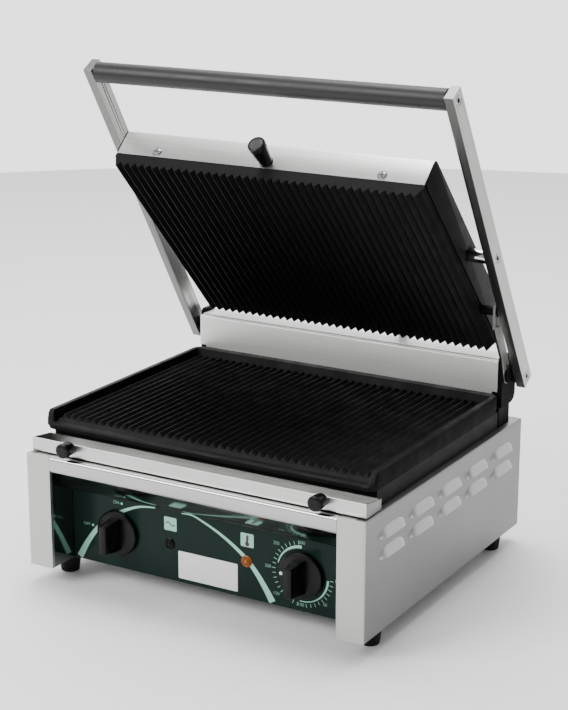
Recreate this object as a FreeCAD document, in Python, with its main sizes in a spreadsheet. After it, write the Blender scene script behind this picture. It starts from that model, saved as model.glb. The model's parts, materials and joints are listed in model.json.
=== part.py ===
"""Contact grill: a ribbed cast plate on a sheet-metal casing, with a ribbed head on swinging arms.

Frame: +Z up, +X to the operator's right as the operator faces +Y, origin on the floor under the
middle of the machine. Millimetres. The lid stands open.
"""
import FreeCAD, Part
import math
import os
import re

import Sketcher

Vector = FreeCAD.Vector
doc = FreeCAD.newDocument("contact_grill")
sheet = doc.addObject("Spreadsheet::Sheet", "Sizes")

SIZES = {
    "foot_height": 20, "foot_top_radius": 13, "foot_base_radius": 10, "foot_reach": 185,
    "foot_front": 140, "foot_rear": 150,
    "casing_width": 404, "casing_depth": 375, "casing_height": 125.7, "skin": 1.5,
    "fold": 12, "front_post": 30, "recess": 39.5, "rail_height": 15.7, "brow_drop": 46.7,
    "louvre_length": 52, "louvre_rise": 11, "louvre_depth": 5, "louvre_pitch": 66.1,
    "louvre_start": -129, "louvre_low": 97.5, "louvre_step": 20.8, "louvre_count": 5,
    "knob_reach": 112.5, "knob_level": 60.5, "knob_radius": 25, "knob_disc": 6,
    "grip_length": 36, "grip_width": 11, "grip_height": 24, "stem_radius": 3,
    "lamp_reach": 47, "lamp_level": 61, "lamp_radius": 5,
    "label_skin": 0.6, "badge_width": 72.6, "badge_low": 25, "badge_height": 30.5,
    "plate_width": 395, "plate_base_width": 388.6, "plate_low": 165.6, "plate_top": 185.6,
    "plate_floor": 175.2, "plate_rear": 139, "plate_front": 150, "lip_front": 160,
    "rim": 7, "rear_rim": 11, "rib_tip": 180, "rib_pitch": 9.33, "rib_count": 40,
    "rib_front": 146, "rib_rear": 122, "corner_radius": 14,
    "skirt_width": 388, "skirt_wall": 2.5, "skirt_front": 147,
    "hinge_depth": 162.4, "hinge_level": 204.1, "shaft_radius": 5, "running_gap": 0.05,
    "box_front": 139.5, "box_rear": 172, "box_low": 187.2, "box_top": 223.6, "box_width": 387.4,
    "ear_inner": 194, "ear_outer": 199.4, "left_ear_front": 151, "right_ear_front": 135.5,
    "ear_low": 171.5, "ear_top": 228,
    "hub_radius": 9.5, "hub_outer": 206.4,
    "arm_inner": 206.7, "arm_outer": 217, "arm_width": 20, "arm_length": 399, "arm_tail": 9.5,
    "arm_rise": 58.8, "head_reach": 175, "handle_reach": 380,
    "handle_radius": 11, "tie_radius": 6, "screw_radius": 2.5, "screw_head": 6, "screw_cone": 3.5,
    "screw_bite": 14,
    "head_tilt": 46.9, "head_width": 370, "head_front": 139.6, "head_rear": 141,
    "head_top": 14.9, "cast_top": -16.8, "cast_side_low": -21.5, "cast_floor": -28.4,
    "cast_tip": -33.2, "cast_rear": 136.4, "cast_width": 368, "cast_face_width": 358,
    "head_wall": 1.8, "head_rib_count": 39,
    "pin_radius": 7.5, "journal_radius": 5, "boss_radius": 10, "boss_inner": 172,
    "lid_knob_root": 7, "lid_knob_tip": 9.5, "lid_knob_length": 30, "lid_knob_level": -8.8,
    "cover_screw_reach": 134.5, "cover_screw_level": -10.4,
    "stay_inner": 200, "stay_outer": 203, "stay_depth": 140, "stay_level": 207, "stay_eye": 8,
    "stay_pin": 4, "guide_back": 74.2, "guide_drop": -18.5, "guide_pin": 3,
    "slot_depth": 110.45, "slot_low": 269, "slot_high": 292, "slot_width": 9.8,
    "tray_front": 179, "tray_rear": 147.8, "tray_width": 398.8, "tray_low": 146.5,
    "tray_high": 161.6, "tray_skin": 1.2, "tray_knob_reach": 150.5, "tray_knob_level": 157.4,
    "tray_knob_radius": 8, "tray_knob_length": 15,
    "heater_radius": 4, "heater_pitch": 62, "heater_bend": 28, "heater_span": 240,
    "conduit_offset": 55, "conduit_radius": 6, "conduit_depth": 181,
    "nut_radius": 8.6, "nut_height": 9, "conduit_exit": 64.4, "conduit_bend": 28,
    "inlet_radius": 11, "inlet_bore": 4.5, "inlet_tail": 14,
    "inlet_reach": 120, "inlet_level": 50, "inlet_length": 6.5,
    "probe_reach": 60, "probe_hole": 3, "probe_radius": 1.6, "probe_bend": 7,
    "wool_reach": 165, "wool_gap": 8, "case_screw_reach": 170, "case_screw_radius": 3.6,
    "spring_inner": 6.4, "spring_outer": 8, "spring_length": 110, "spring_start": 60,
}
for row, (alias, number) in enumerate(SIZES.items(), start=1):
    sheet.set(f"A{row}", alias)
    sheet.set(f"B{row}", str(number))
    sheet.setAlias(f"B{row}", alias)
doc.recompute()

ALIAS = re.compile(r"\b(" + "|".join(sorted(SIZES, key=len, reverse=True)) + r")\b")
parts = []


def value(text):
    """Number that an expression in the sheet's names has now."""
    return float(sheet.evalExpression(str(text)))


def bind(thing, prop, text):
    """Drive a property of a document object by the sheet."""
    thing.setExpression(prop, ALIAS.sub(r"Sizes.\1", str(text)))


def place(thing, spot, turn=None):
    """Put an object at a spot of three expressions; turn is an axis and an angle."""
    if turn:
        axis, angle = turn
        thing.Placement = FreeCAD.Placement(Vector(), FreeCAD.Rotation(axis, value(angle)))
        bind(thing, "Placement.Rotation.Angle", angle)
    for letter, text in zip("xyz", spot):
        bind(thing, f"Placement.Base.{letter}", text)


def name_part(thing, label, pose=None):
    """Register a finished sub-part; its label names its file."""
    thing.Label = label
    if pose:
        place(thing, *pose)
    parts.append(thing)
    return thing


# The arm lies flat towards -Y and the head lies level before these poses tilt them open.
TURN_AXIS = Vector(-1, 0, 0)
ARM_POSE = (("0", "hinge_depth", "hinge_level"), (TURN_AXIS, "arm_rise"))
PIVOT_Y = "hinge_depth - head_reach * cos(arm_rise)"
PIVOT_Z = "hinge_level + head_reach * sin(arm_rise)"
HEAD_POSE = (("0", PIVOT_Y, PIVOT_Z), (TURN_AXIS, "head_tilt"))


class Piece:
    """A PartDesign body built feature by feature from sketches on its own origin planes."""

    def __init__(self, name):
        self.name = name
        self.body = doc.addObject("PartDesign::Body", name + "_body")
        self.count = 0

    def datum(self, role):
        return next(item for item in self.body.Origin.OriginFeatures if item.Role == role)

    def sketch(self, plane, offset, loops, discs):
        self.count += 1
        drawing = self.body.newObject("Sketcher::SketchObject", f"{self.name}_sketch{self.count}")
        drawing.AttachmentSupport = [(self.datum(plane + "_Plane"), "")]
        drawing.MapMode = "FlatFace"
        bind(drawing, "AttachmentOffset.Base.z", offset)
        for loop in loops:
            draw_loop(drawing, loop)
        for centre, radius in discs:
            draw_disc(drawing, centre, radius)
        return drawing

    def feature(self, kind, plane, span, loops, discs):
        """Pad or pocket between two levels along the plane's axis."""
        low, high = span
        offset = f"-({high})" if plane == "XZ" else low
        before = self.volume()
        drawing = self.sketch(plane, offset, loops, discs)
        made = self.body.newObject(f"PartDesign::{kind}", f"{self.name}_{kind}{self.count}")
        made.Profile = drawing
        bind(made, "Length", f"({high}) - ({low})")
        made.Reversed = kind == "Pocket"
        doc.recompute()
        grown = self.volume() - before
        if (grown > 0) != (kind == "Pad"):
            raise ValueError(f"{self.name}: {kind} {self.count} changed the volume by {grown}")
        return made

    def volume(self):
        return self.body.Shape.Volume if self.body.Tip else 0.0

    def pad(self, plane, span, *loops, discs=()):
        return self.feature("Pad", plane, span, loops, discs)

    def pocket(self, plane, span, *loops, discs=()):
        return self.feature("Pocket", plane, span, loops, discs)

    def repeat(self, features, axis, length, count):
        """Repeat features in a row along an origin axis."""
        row = self.body.newObject("PartDesign::LinearPattern", f"{self.name}_row{self.count}")
        row.Originals = features
        row.Direction = (self.datum(axis + "_Axis"), [""])
        bind(row, "Length", length)
        row.Occurrences = int(value(count))
        self.body.Tip = row
        doc.recompute()

    def done(self, pose=None):
        return name_part(self.body, self.name, pose)


def pin_coordinate(drawing, line, end, kind, text):
    """Fix one coordinate of a sketch point to an expression, whatever its sign."""
    number = value(text)
    if abs(number) < 1e-9:
        axis = -2 if kind == "DistanceX" else -1
        drawing.addConstraint(Sketcher.Constraint("PointOnObject", line, end, axis))
    elif number > 0:
        index = drawing.addConstraint(Sketcher.Constraint(kind, -1, 1, line, end, number))
        bind(drawing, f"Constraints[{index}]", text)
    else:
        index = drawing.addConstraint(Sketcher.Constraint(kind, line, end, -1, 1, -number))
        bind(drawing, f"Constraints[{index}]", f"-({text})")


def draw_loop(drawing, loop):
    """Closed polygon whose corners are pairs of expressions."""
    spots = [Vector(value(across), value(up), 0) for across, up in loop]
    first = drawing.GeometryCount
    size = len(loop)
    for step, spot in enumerate(spots):
        drawing.addGeometry(Part.LineSegment(spot, spots[(step + 1) % size]), False)
    for step in range(size):
        after = first + (step + 1) % size
        drawing.addConstraint(Sketcher.Constraint("Coincident", first + step, 2, after, 1))
    for step, (across, up) in enumerate(loop):
        pin_coordinate(drawing, first + step, 1, "DistanceX", across)
        pin_coordinate(drawing, first + step, 1, "DistanceY", up)


def draw_disc(drawing, centre, radius):
    """Circle with its centre and radius given by expressions."""
    middle = Vector(value(centre[0]), value(centre[1]), 0)
    curve = drawing.addGeometry(Part.Circle(middle, Vector(0, 0, 1), value(radius)), False)
    pin_coordinate(drawing, curve, 3, "DistanceX", centre[0])
    pin_coordinate(drawing, curve, 3, "DistanceY", centre[1])
    index = drawing.addConstraint(Sketcher.Constraint("Radius", curve, value(radius)))
    bind(drawing, f"Constraints[{index}]", radius)


def rect(x_low, y_low, x_high, y_high):
    """Corners of a rectangle as expressions."""
    return [(x_low, y_low), (x_high, y_low), (x_high, y_high), (x_low, y_high)]


def block(name, x_span, y_span, z_span):
    """Part box between expressions."""
    made = doc.addObject("Part::Box", name)
    for prop, (low, high) in zip(("Length", "Width", "Height"), (x_span, y_span, z_span)):
        bind(made, prop, f"({high}) - ({low})")
    place(made, (x_span[0], y_span[0], z_span[0]))
    return made


AXIS_TURN = {"x": (Vector(0, 1, 0), "90"), "y": (TURN_AXIS, "90"), "z": None}


def rod(name, axis, spot, radius, length):
    """Part cylinder from a spot along +X, +Y or +Z."""
    made = doc.addObject("Part::Cylinder", name)
    bind(made, "Radius", radius)
    bind(made, "Height", length)
    place(made, spot, AXIS_TURN[axis])
    return made


def taper(name, axis, spot, radius_from, radius_to, length):
    """Part cone from a spot along +X, +Y or +Z."""
    made = doc.addObject("Part::Cone", name)
    bind(made, "Radius1", radius_from)
    bind(made, "Radius2", radius_to)
    bind(made, "Height", length)
    place(made, spot, AXIS_TURN[axis])
    return made


def fuse(name, *shapes):
    """Part union."""
    made = doc.addObject("Part::MultiFuse", name)
    made.Shapes = list(shapes)
    return made


def cut(name, base, *tools):
    """Part difference of a base and its tools."""
    made = doc.addObject("Part::Cut", name)
    made.Base = base
    made.Tool = tools[0] if len(tools) == 1 else fuse(name + "_tools", *tools)
    return made


def group(name, members):
    """Several separate solids kept as one node."""
    made = doc.addObject("Part::Compound", name)
    made.Links = list(members)
    return made


def round_path(route, bend):
    """Wire of straight runs joined by tangent arcs; bend is one radius or 0 for the largest."""
    edges = []
    start = route[0]
    for before, corner, after in zip(route, route[1:], route[2:]):
        inward = (before - corner).normalize()
        outward = (after - corner).normalize()
        turn = math.pi - inward.getAngle(outward)
        shorter = min((before - corner).Length, (after - corner).Length)
        radius = bend or 0.45 * shorter / math.tan(turn / 2)
        reach = radius * math.tan(turn / 2)
        enter = corner + inward * reach
        leave = corner + outward * reach
        middle = (inward + outward).normalize()
        crown = corner + middle * (radius / math.cos(turn / 2) - radius)
        edges.append(Part.LineSegment(start, enter).toShape())
        edges.append(Part.Arc(enter, crown, leave).toShape())
        start = leave
        if not bend:
            print(f"conduit bend radius {radius:.1f} mm")
    edges.append(Part.LineSegment(start, route[-1]).toShape())
    return Part.Wire(edges)


def tube(name, route, radius, bend=0):
    """Round bar or hose swept along a route."""
    path = round_path(route, bend)
    ring = Part.Wire(Part.makeCircle(radius, route[0], route[1] - route[0]))
    made = doc.addObject("Part::Feature", name + "_sweep")
    made.Shape = path.makePipeShell([ring], True, True)
    expected = math.pi * radius ** 2 * path.Length
    if abs(made.Shape.Volume / expected - 1) > 0.02:
        raise ValueError(f"{name}: swept volume {made.Shape.Volume} against {expected}")
    return made


SIDES = (("left", "-1"), ("right", "1"))
FRONT = "-casing_depth / 2"
REAR = "casing_depth / 2"
FLOOR = "foot_height"
ROOF = "foot_height + casing_height"
HALF = "casing_width / 2"
POST = "casing_width / 2 - front_post"
PANEL = "-casing_depth / 2 + recess"


def side_panels():
    """Side skins with a front post, top and bottom folds and two rows of hooded louvres."""
    for side, sign in SIDES:
        panel = Piece(f"{side}_side_panel")
        outer = f"{sign} * {HALF}"
        inner = f"{sign} * ({HALF} - skin)"
        hem = f"{sign} * ({HALF} - fold)"
        post = f"{sign} * ({POST})"
        post_back = f"{sign} * ({POST} + skin)"
        crest = f"{sign} * ({HALF} + louvre_depth)"
        brim = f"{sign} * ({HALF} + louvre_depth * 0.55)"
        panel.pad("XY", (FLOOR, ROOF), [
            (outer, FRONT), (outer, REAR), (inner, REAR), (inner, f"{FRONT} + skin"),
            (post_back, f"{FRONT} + skin"), (post_back, PANEL), (post, PANEL), (post, FRONT)])
        panel.pad("XY", (f"{ROOF} - skin", ROOF), [
            (post, FRONT), (outer, FRONT), (outer, REAR), (hem, REAR), (hem, PANEL), (post, PANEL)])
        panel.pad("XY", (FLOOR, f"{FLOOR} + skin"), rect(hem, PANEL, outer, REAR))
        hoods = []
        for tier in range(2):
            low = f"louvre_low + {tier} * louvre_step"
            span = ("louvre_start - louvre_length / 2", "louvre_start + louvre_length / 2")
            hoods.append(panel.pad("XZ", span, [
                (outer, low), (crest, low), (brim, f"{low} + louvre_rise * 0.75"),
                (outer, f"{low} + louvre_rise")]))
            hollow = (f"{span[0]} + skin", f"{span[1]} - skin")
            hoods.append(panel.pocket("XZ", hollow, [
                (f"{sign} * ({HALF} - 2 * skin)", f"{low} - 0.01"),
                (f"{crest} - {sign} * skin", f"{low} - 0.01"),
                (f"{brim} - {sign} * skin", f"{low} + louvre_rise * 0.6"),
                (f"{sign} * ({HALF} - 2 * skin)", f"{low} + louvre_rise * 0.6")]))
        panel.repeat(hoods, "Y", "louvre_pitch * (louvre_count - 1)", "louvre_count")
        panel.done()


def front_panel():
    """One folded sheet: top strip, rail, brow that slopes back, and the upright panel."""
    rail_low = f"{ROOF} - rail_height"
    brow_low = f"{ROOF} - brow_drop"
    panel = Piece("front_panel")
    panel.pad("YZ", (f"-({POST}) + 0.2", f"{POST} - 0.2"), [
        (PANEL, ROOF), (FRONT, ROOF), (FRONT, rail_low), (PANEL, brow_low), (PANEL, FLOOR),
        (f"{PANEL} + fold", FLOOR), (f"{PANEL} + fold", f"{FLOOR} + skin"),
        (f"{PANEL} + skin", f"{FLOOR} + skin"), (f"{PANEL} + skin", f"{brow_low} + skin / 2"),
        (f"{FRONT} + skin", f"{rail_low} + skin / 2"), (f"{FRONT} + skin", f"{ROOF} - skin"),
        (PANEL, f"{ROOF} - skin")])
    holes = [((f"{sign} * knob_reach", "knob_level"), "stem_radius + 1") for _, sign in SIDES]
    holes += [((f"{sign} * lamp_reach", "lamp_level"), "lamp_radius + 0.1") for _, sign in SIDES]
    panel.pocket("XZ", (f"{PANEL} - 1", f"{PANEL} + 2 * skin"), discs=holes)
    panel.done()
    label = Piece("control_label")
    label.pad("XZ", (f"{PANEL} - label_skin", PANEL), rect(
        f"-({POST}) + 0.6", f"{FLOOR} + 0.5", f"{POST} - 0.6", f"{brow_low} - 0.6"))
    label.pocket("XZ", (f"{PANEL} - 1", f"{PANEL} + 1"), discs=holes)
    label.done()
    badge = Piece("badge_plate")
    badge.pad("XZ", (f"{PANEL} - label_skin - 0.8", f"{PANEL} - label_skin"), rect(
        "-badge_width / 2", "badge_low", "badge_width / 2", "badge_low + badge_height"))
    badge.done()


def casing_shell():
    """Rear panel, bottom plate and the deck under the cast plate."""
    rear = Piece("rear_panel")
    inside = f"{HALF} - skin - 0.1"
    rear.pad("XZ", (f"{REAR} - skin", REAR), rect(
        f"-({inside})", f"{FLOOR} + skin + 0.1", inside, f"{ROOF} - skin - 0.1"))
    rear.pocket("XZ", (f"{REAR} - 2 * skin", f"{REAR} + 1"),
                discs=[(("inlet_reach", "inlet_level"), "inlet_radius - 3")])
    rear.done()
    plate = Piece("bottom_plate")
    edge = f"{HALF} - fold - 0.2"
    plate.pad("XY", (FLOOR, f"{FLOOR} + skin"), rect(
        f"-({edge})", f"{PANEL} + fold + 0.2", edge, f"{REAR} - skin - 0.2"))
    plate.done()
    deck = Piece("top_deck")
    deck.pad("XY", (f"{ROOF} - skin", ROOF), rect(
        f"-({edge})", f"{PANEL} + 0.4", edge, REAR))
    deck.pocket("XY", (f"{ROOF} - 2 * skin", f"{ROOF} + 1"), discs=[
        (("conduit_offset", "conduit_depth"), "conduit_radius - 1"),
        (("probe_reach", "-probe_reach"), "probe_hole")])
    deck.done()


def feet():
    """Four tapered rubber feet and the screws that hold them."""
    rubber = []
    screws = []
    for side, sign in SIDES:
        for end, depth in (("front", "-foot_front"), ("rear", "foot_rear")):
            spot = (f"{sign} * foot_reach", depth, "0")
            cone = taper(f"foot_{side}_{end}", "z", spot, "foot_base_radius", "foot_top_radius",
                         "foot_height")
            well = rod(f"foot_well_{side}_{end}", "z", (spot[0], depth, "foot_height - 8"), "2.2", "8")
            rubber.append(cut(f"foot_body_{side}_{end}", cone, well))
            screws.append(rod(f"foot_screw_{side}_{end}", "z", (spot[0], depth, "foot_height - 8"),
                              "2", "8"))
    name_part(group("feet_group", rubber), "feet")
    name_part(group("foot_screw_group", screws), "foot_screws")


def lower_grill():
    """Ribbed cast plate on a black skirt, with its heater and insulation."""
    plate = Piece("lower_plate")
    half = "plate_width / 2"
    base = "plate_base_width / 2"
    plate.pad("XZ", ("-plate_front", "plate_rear"), [
        (f"-{base}", "plate_low"), (base, "plate_low"), (half, "plate_top - 2"),
        (f"{half} - 1.5", "plate_top"), (f"{half} - rim", "plate_top"),
        (f"{half} - rim - 3", "plate_floor"), (f"-({half} - rim - 3)", "plate_floor"),
        (f"-({half} - rim)", "plate_top"), (f"-({half} - 1.5)", "plate_top"),
        (f"-{half}", "plate_top - 2")])
    plate.pad("YZ", (f"-({half} - rim)", f"{half} - rim"), [
        ("plate_rear - rear_rim - 3", "plate_floor - 1"), ("plate_rear", "plate_floor - 1"),
        ("plate_rear", "plate_top"), ("plate_rear - rear_rim", "plate_top")])
    plate.pad("YZ", (f"-({base}) + 6", f"{base} - 6"), [
        ("-plate_front + 2", "plate_low"), ("-lip_front", "plate_low - 3"),
        ("-lip_front", "plate_low + 7"), ("-plate_front + 2", "plate_floor")])
    for _, sign in SIDES:
        for depth, way in (("plate_rear", "-1"), ("-plate_front", "1")):
            plate.pocket("XY", ("plate_low - 1", "plate_top + 1"), [
                (f"{sign} * ({half} - corner_radius)", f"{depth} - {way} * 1"),
                (f"{sign} * ({half} + 1)", f"{depth} - {way} * 1"),
                (f"{sign} * ({half} + 1)", f"{depth} + {way} * corner_radius"),
                (f"{sign} * ({half} - 0.5)", f"{depth} + {way} * corner_radius * 0.7"),
                (f"{sign} * ({half} - corner_radius * 0.3)", f"{depth} + {way} * corner_radius * 0.3"),
                (f"{sign} * ({half} - corner_radius * 0.7)", f"{depth} + {way} * 0.5")])
    first = "-rib_pitch * (rib_count - 1) / 2"
    tooth = plate.pad("XZ", ("-rib_front", "rib_rear"), [
        (f"{first} - rib_pitch * 0.499", "plate_floor - 0.2"),
        (f"{first} + rib_pitch * 0.499", "plate_floor - 0.2"), (first, "rib_tip")])
    plate.repeat([tooth], "X", "rib_pitch * (rib_count - 1)", "rib_count")
    plate.done()
    skirt = Piece("plate_skirt")
    out = "skirt_width / 2"
    rear = "box_front - 0.4"
    skirt.pad("XY", (ROOF, "plate_low"), rect(f"-{out}", "-skirt_front", out, rear),
              rect(f"-({out} - skirt_wall)", "-skirt_front + skirt_wall", f"{out} - skirt_wall",
                   f"{rear} - skirt_wall"))
    skirt.done()
    pad = Piece("lower_insulation")
    pad.pad("XY", (f"{ROOF} + 0.2", f"{ROOF} + 9"), rect(
        f"-({out} - wool_gap)", "-skirt_front + wool_gap", f"{out} - wool_gap",
        f"{rear} - wool_gap"))
    pad.pocket("XY", (f"{ROOF} - 1", f"{ROOF} + 10"),
               discs=[(("probe_reach", "-probe_reach"), "probe_hole + 1.5")])
    pad.done()
    name_part(heater("lower_heater", value("plate_low - heater_radius")), "lower_heater")


def heater(name, level):
    """Tubular element folded back and forth in six legs under or over a cast plate."""
    reach = value("heater_span") / 2
    route = []
    for leg in range(6):
        across = (leg - 2.5) * value("heater_pitch")
        near = reach if leg % 2 == 0 else -reach
        route += [Vector(across, near, level), Vector(across, -near, level)]
    return tube(name, route, value("heater_radius"), value("heater_bend"))


def hinge():
    """Stainless hinge box between two cast brackets, with the springs that ease the lid."""
    box = Piece("hinge_box")
    wide = ("-box_width / 2", "box_width / 2")
    narrow = ("-box_width / 2 + 8", "box_width / 2 - 8")
    box.pad("YZ", wide, [
        ("box_front", "box_low"), ("box_front", "box_top"), ("box_rear", "box_top"),
        ("box_rear", "box_low"), ("box_rear - skin", "box_low"), ("box_rear - skin", "box_top - skin"),
        ("box_front + skin", "box_top - skin"), ("box_front + skin", "box_low")])
    box.pad("YZ", narrow, rect("box_front", ROOF, "box_front + skin", "box_low"))
    box.pad("YZ", narrow, rect("box_rear - skin", ROOF, "box_rear", "box_low"))
    box.done()
    springs = []
    for side, sign in SIDES:
        bracket = Piece(f"{side}_hinge_bracket")
        front = f"{side}_ear_front"
        span = sorted((f"{sign} * ear_inner", f"{sign} * ear_outer"), key=value)
        bracket.pad("YZ", span, [
            (front, "ear_low"), ("box_rear - 9", "ear_low"), ("box_rear - 3", "ear_low + 3"),
            ("box_rear", "ear_low + 9"), ("box_rear", "ear_top - 3"), ("box_rear - 3", "ear_top"),
            (f"{front} + 3", "ear_top"), (front, "ear_top - 3")])
        hub = sorted((f"{sign} * ear_inner", f"{sign} * hub_outer"), key=value)
        bracket.pad("YZ", hub, discs=[(("hinge_depth", "hinge_level"), "hub_radius")])
        foot = sorted((f"{sign} * (ear_inner - 8)", f"{sign} * ear_inner"), key=value)
        bracket.pad("YZ", foot, [
            ("box_front + 2", ROOF), ("box_rear - 2", ROOF), ("box_rear - 2", "box_low - 0.2"),
            ("box_rear - 3", "box_low - 0.2"), ("box_rear - 3", "hinge_level + 9"),
            ("box_front + 8", "hinge_level + 9"), ("box_front + 8", "box_low - 0.2"),
            ("box_front + 2", "box_low - 0.2")])
        bore = sorted((f"{sign} * (ear_inner - 10)", f"{sign} * (hub_outer + 2)"), key=value)
        bracket.pocket("YZ", bore,
                       discs=[(("hinge_depth", "hinge_level"), "shaft_radius + running_gap")])
        if side == "right":
            bracket.pocket("YZ", ("ear_inner", "ear_outer + 1"),
                           discs=[(("stay_depth", "stay_level"), "stay_pin")])
        bracket.done()
        start = "spring_start" if side == "right" else "-spring_start - spring_length"
        spot = (start, "hinge_depth", "hinge_level")
        coil = rod(f"spring_coil_{side}", "x", spot, "spring_outer", "spring_length")
        core = rod(f"spring_core_{side}", "x", spot, "spring_inner", "spring_length")
        springs.append(cut(f"spring_{side}", coil, core))
    name_part(group("spring_group", springs), "lid_springs")
    stub = rod("stay_stub", "x", ("ear_inner", "stay_depth", "stay_level"), "stay_pin",
               "stay_outer + 2.3 - ear_inner")
    cap = rod("stay_cap", "x", ("stay_outer + 0.3", "stay_depth", "stay_level"), "stay_pin + 3", "2")
    name_part(fuse("stay_pin_solid", stub, cap), "stay_pivot")


def arm_hole(side, name, back):
    """Countersunk hole through an arm, at a distance in front of the hinge axis."""
    inner = "arm_inner" if side == "right" else "-arm_outer"
    bore = rod(f"{name}_bore_{side}", "x", (inner, f"-({back})", "0"), "screw_radius + 0.05",
               "arm_outer - arm_inner")
    if side == "right":
        sink = taper(f"{name}_sink_{side}", "x", ("arm_outer - screw_cone", f"-({back})", "0"),
                     "screw_radius + 0.05", "screw_head + 0.05", "screw_cone")
    else:
        sink = taper(f"{name}_sink_{side}", "x", ("-arm_outer", f"-({back})", "0"),
                     "screw_head + 0.05", "screw_radius + 0.05", "screw_cone")
    return [bore, sink]


def arm_screws(label, back):
    """Pair of countersunk screws, one through each arm."""
    pair = []
    for side, sign in SIDES:
        spot = ("arm_inner - screw_bite" if side == "right" else "-arm_outer",
                f"-({back})", "0")
        shank = rod(f"{label}_shank_{side}", "x", spot, "screw_radius",
                    "arm_outer - arm_inner + screw_bite")
        if side == "right":
            head = taper(f"{label}_head_{side}", "x", ("arm_outer - screw_cone", spot[1], "0"),
                         "screw_radius", "screw_head", "screw_cone")
        else:
            head = taper(f"{label}_head_{side}", "x", ("-arm_outer", spot[1], "0"),
                         "screw_head", "screw_radius", "screw_cone")
        pair.append(fuse(f"{label}_{side}", shank, head))
    name_part(group(f"{label}_group", pair), label, ARM_POSE)


STATIONS = (("hinge_screws", "0"), ("pivot_screws", "head_reach"), ("handle_screws", "handle_reach"))


def tapped_bar(name, radius, half_length, back):
    """Cross bar along X with a screw hole in each end."""
    bar = rod(f"{name}_bar", "x", (f"-({half_length})", f"-({back})", "0"), radius,
              f"2 * ({half_length})")
    taps = []
    for side, sign in SIDES:
        start = f"{half_length} - screw_bite" if side == "right" else f"-({half_length})"
        taps.append(rod(f"{name}_tap_{side}", "x", (start, f"-({back})", "0"),
                        "screw_radius + 0.05", "screw_bite"))
    return cut(f"{name}_cut", bar, *taps)


def lid_frame():
    """Two flat arms, the hinge shaft, the handle and the pins that carry the head."""
    for side, sign in SIDES:
        x_span = ("arm_inner", "arm_outer") if side == "right" else ("-arm_outer", "-arm_inner")
        bar = block(f"arm_bar_{side}", x_span, ("arm_tail - arm_length", "arm_tail"),
                    ("-arm_width / 2", "arm_width / 2"))
        holes = []
        for name, back in STATIONS:
            holes += arm_hole(side, name, back)
        name_part(cut(f"arm_{side}", bar, *holes), f"{side}_arm", ARM_POSE)
    for label, back in STATIONS:
        arm_screws(label, back)
    name_part(tapped_bar("shaft", "shaft_radius", "arm_inner", "0"), "hinge_shaft", ARM_POSE)
    name_part(tapped_bar("tie", "tie_radius", "arm_inner", "handle_reach"), "handle_rod", ARM_POSE)
    grip = rod("grip_outer", "x", ("-arm_inner", "-handle_reach", "0"), "handle_radius",
               "2 * arm_inner")
    bore = rod("grip_bore", "x", ("-arm_inner", "-handle_reach", "0"), "tie_radius + 0.05",
               "2 * arm_inner")
    name_part(cut("grip_cut", grip, bore), "handle_grip", ARM_POSE)
    pins = []
    spacer = "arm_inner - head_width / 2 - 0.6"
    for side, sign in SIDES:
        right = side == "right"
        collar = rod(f"pin_collar_{side}", "x",
                     ("head_width / 2 + 0.6" if right else "-arm_inner", "-head_reach", "0"),
                     "pin_radius", spacer)
        journal = rod(f"pin_journal_{side}", "x",
                      ("boss_inner + 1" if right else "-head_width / 2 - 0.6", "-head_reach", "0"),
                      "journal_radius", "head_width / 2 - 0.4 - boss_inner")
        tap = rod(f"pin_tap_{side}", "x",
                  ("arm_inner - screw_bite" if right else "-arm_inner", "-head_reach", "0"),
                  "screw_radius + 0.05", "screw_bite")
        pins.append(cut(f"pivot_pin_{side}", fuse(f"pin_solid_{side}", collar, journal), tap))
    name_part(group("pin_group", pins), "pivot_pins", ARM_POSE)


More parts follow.
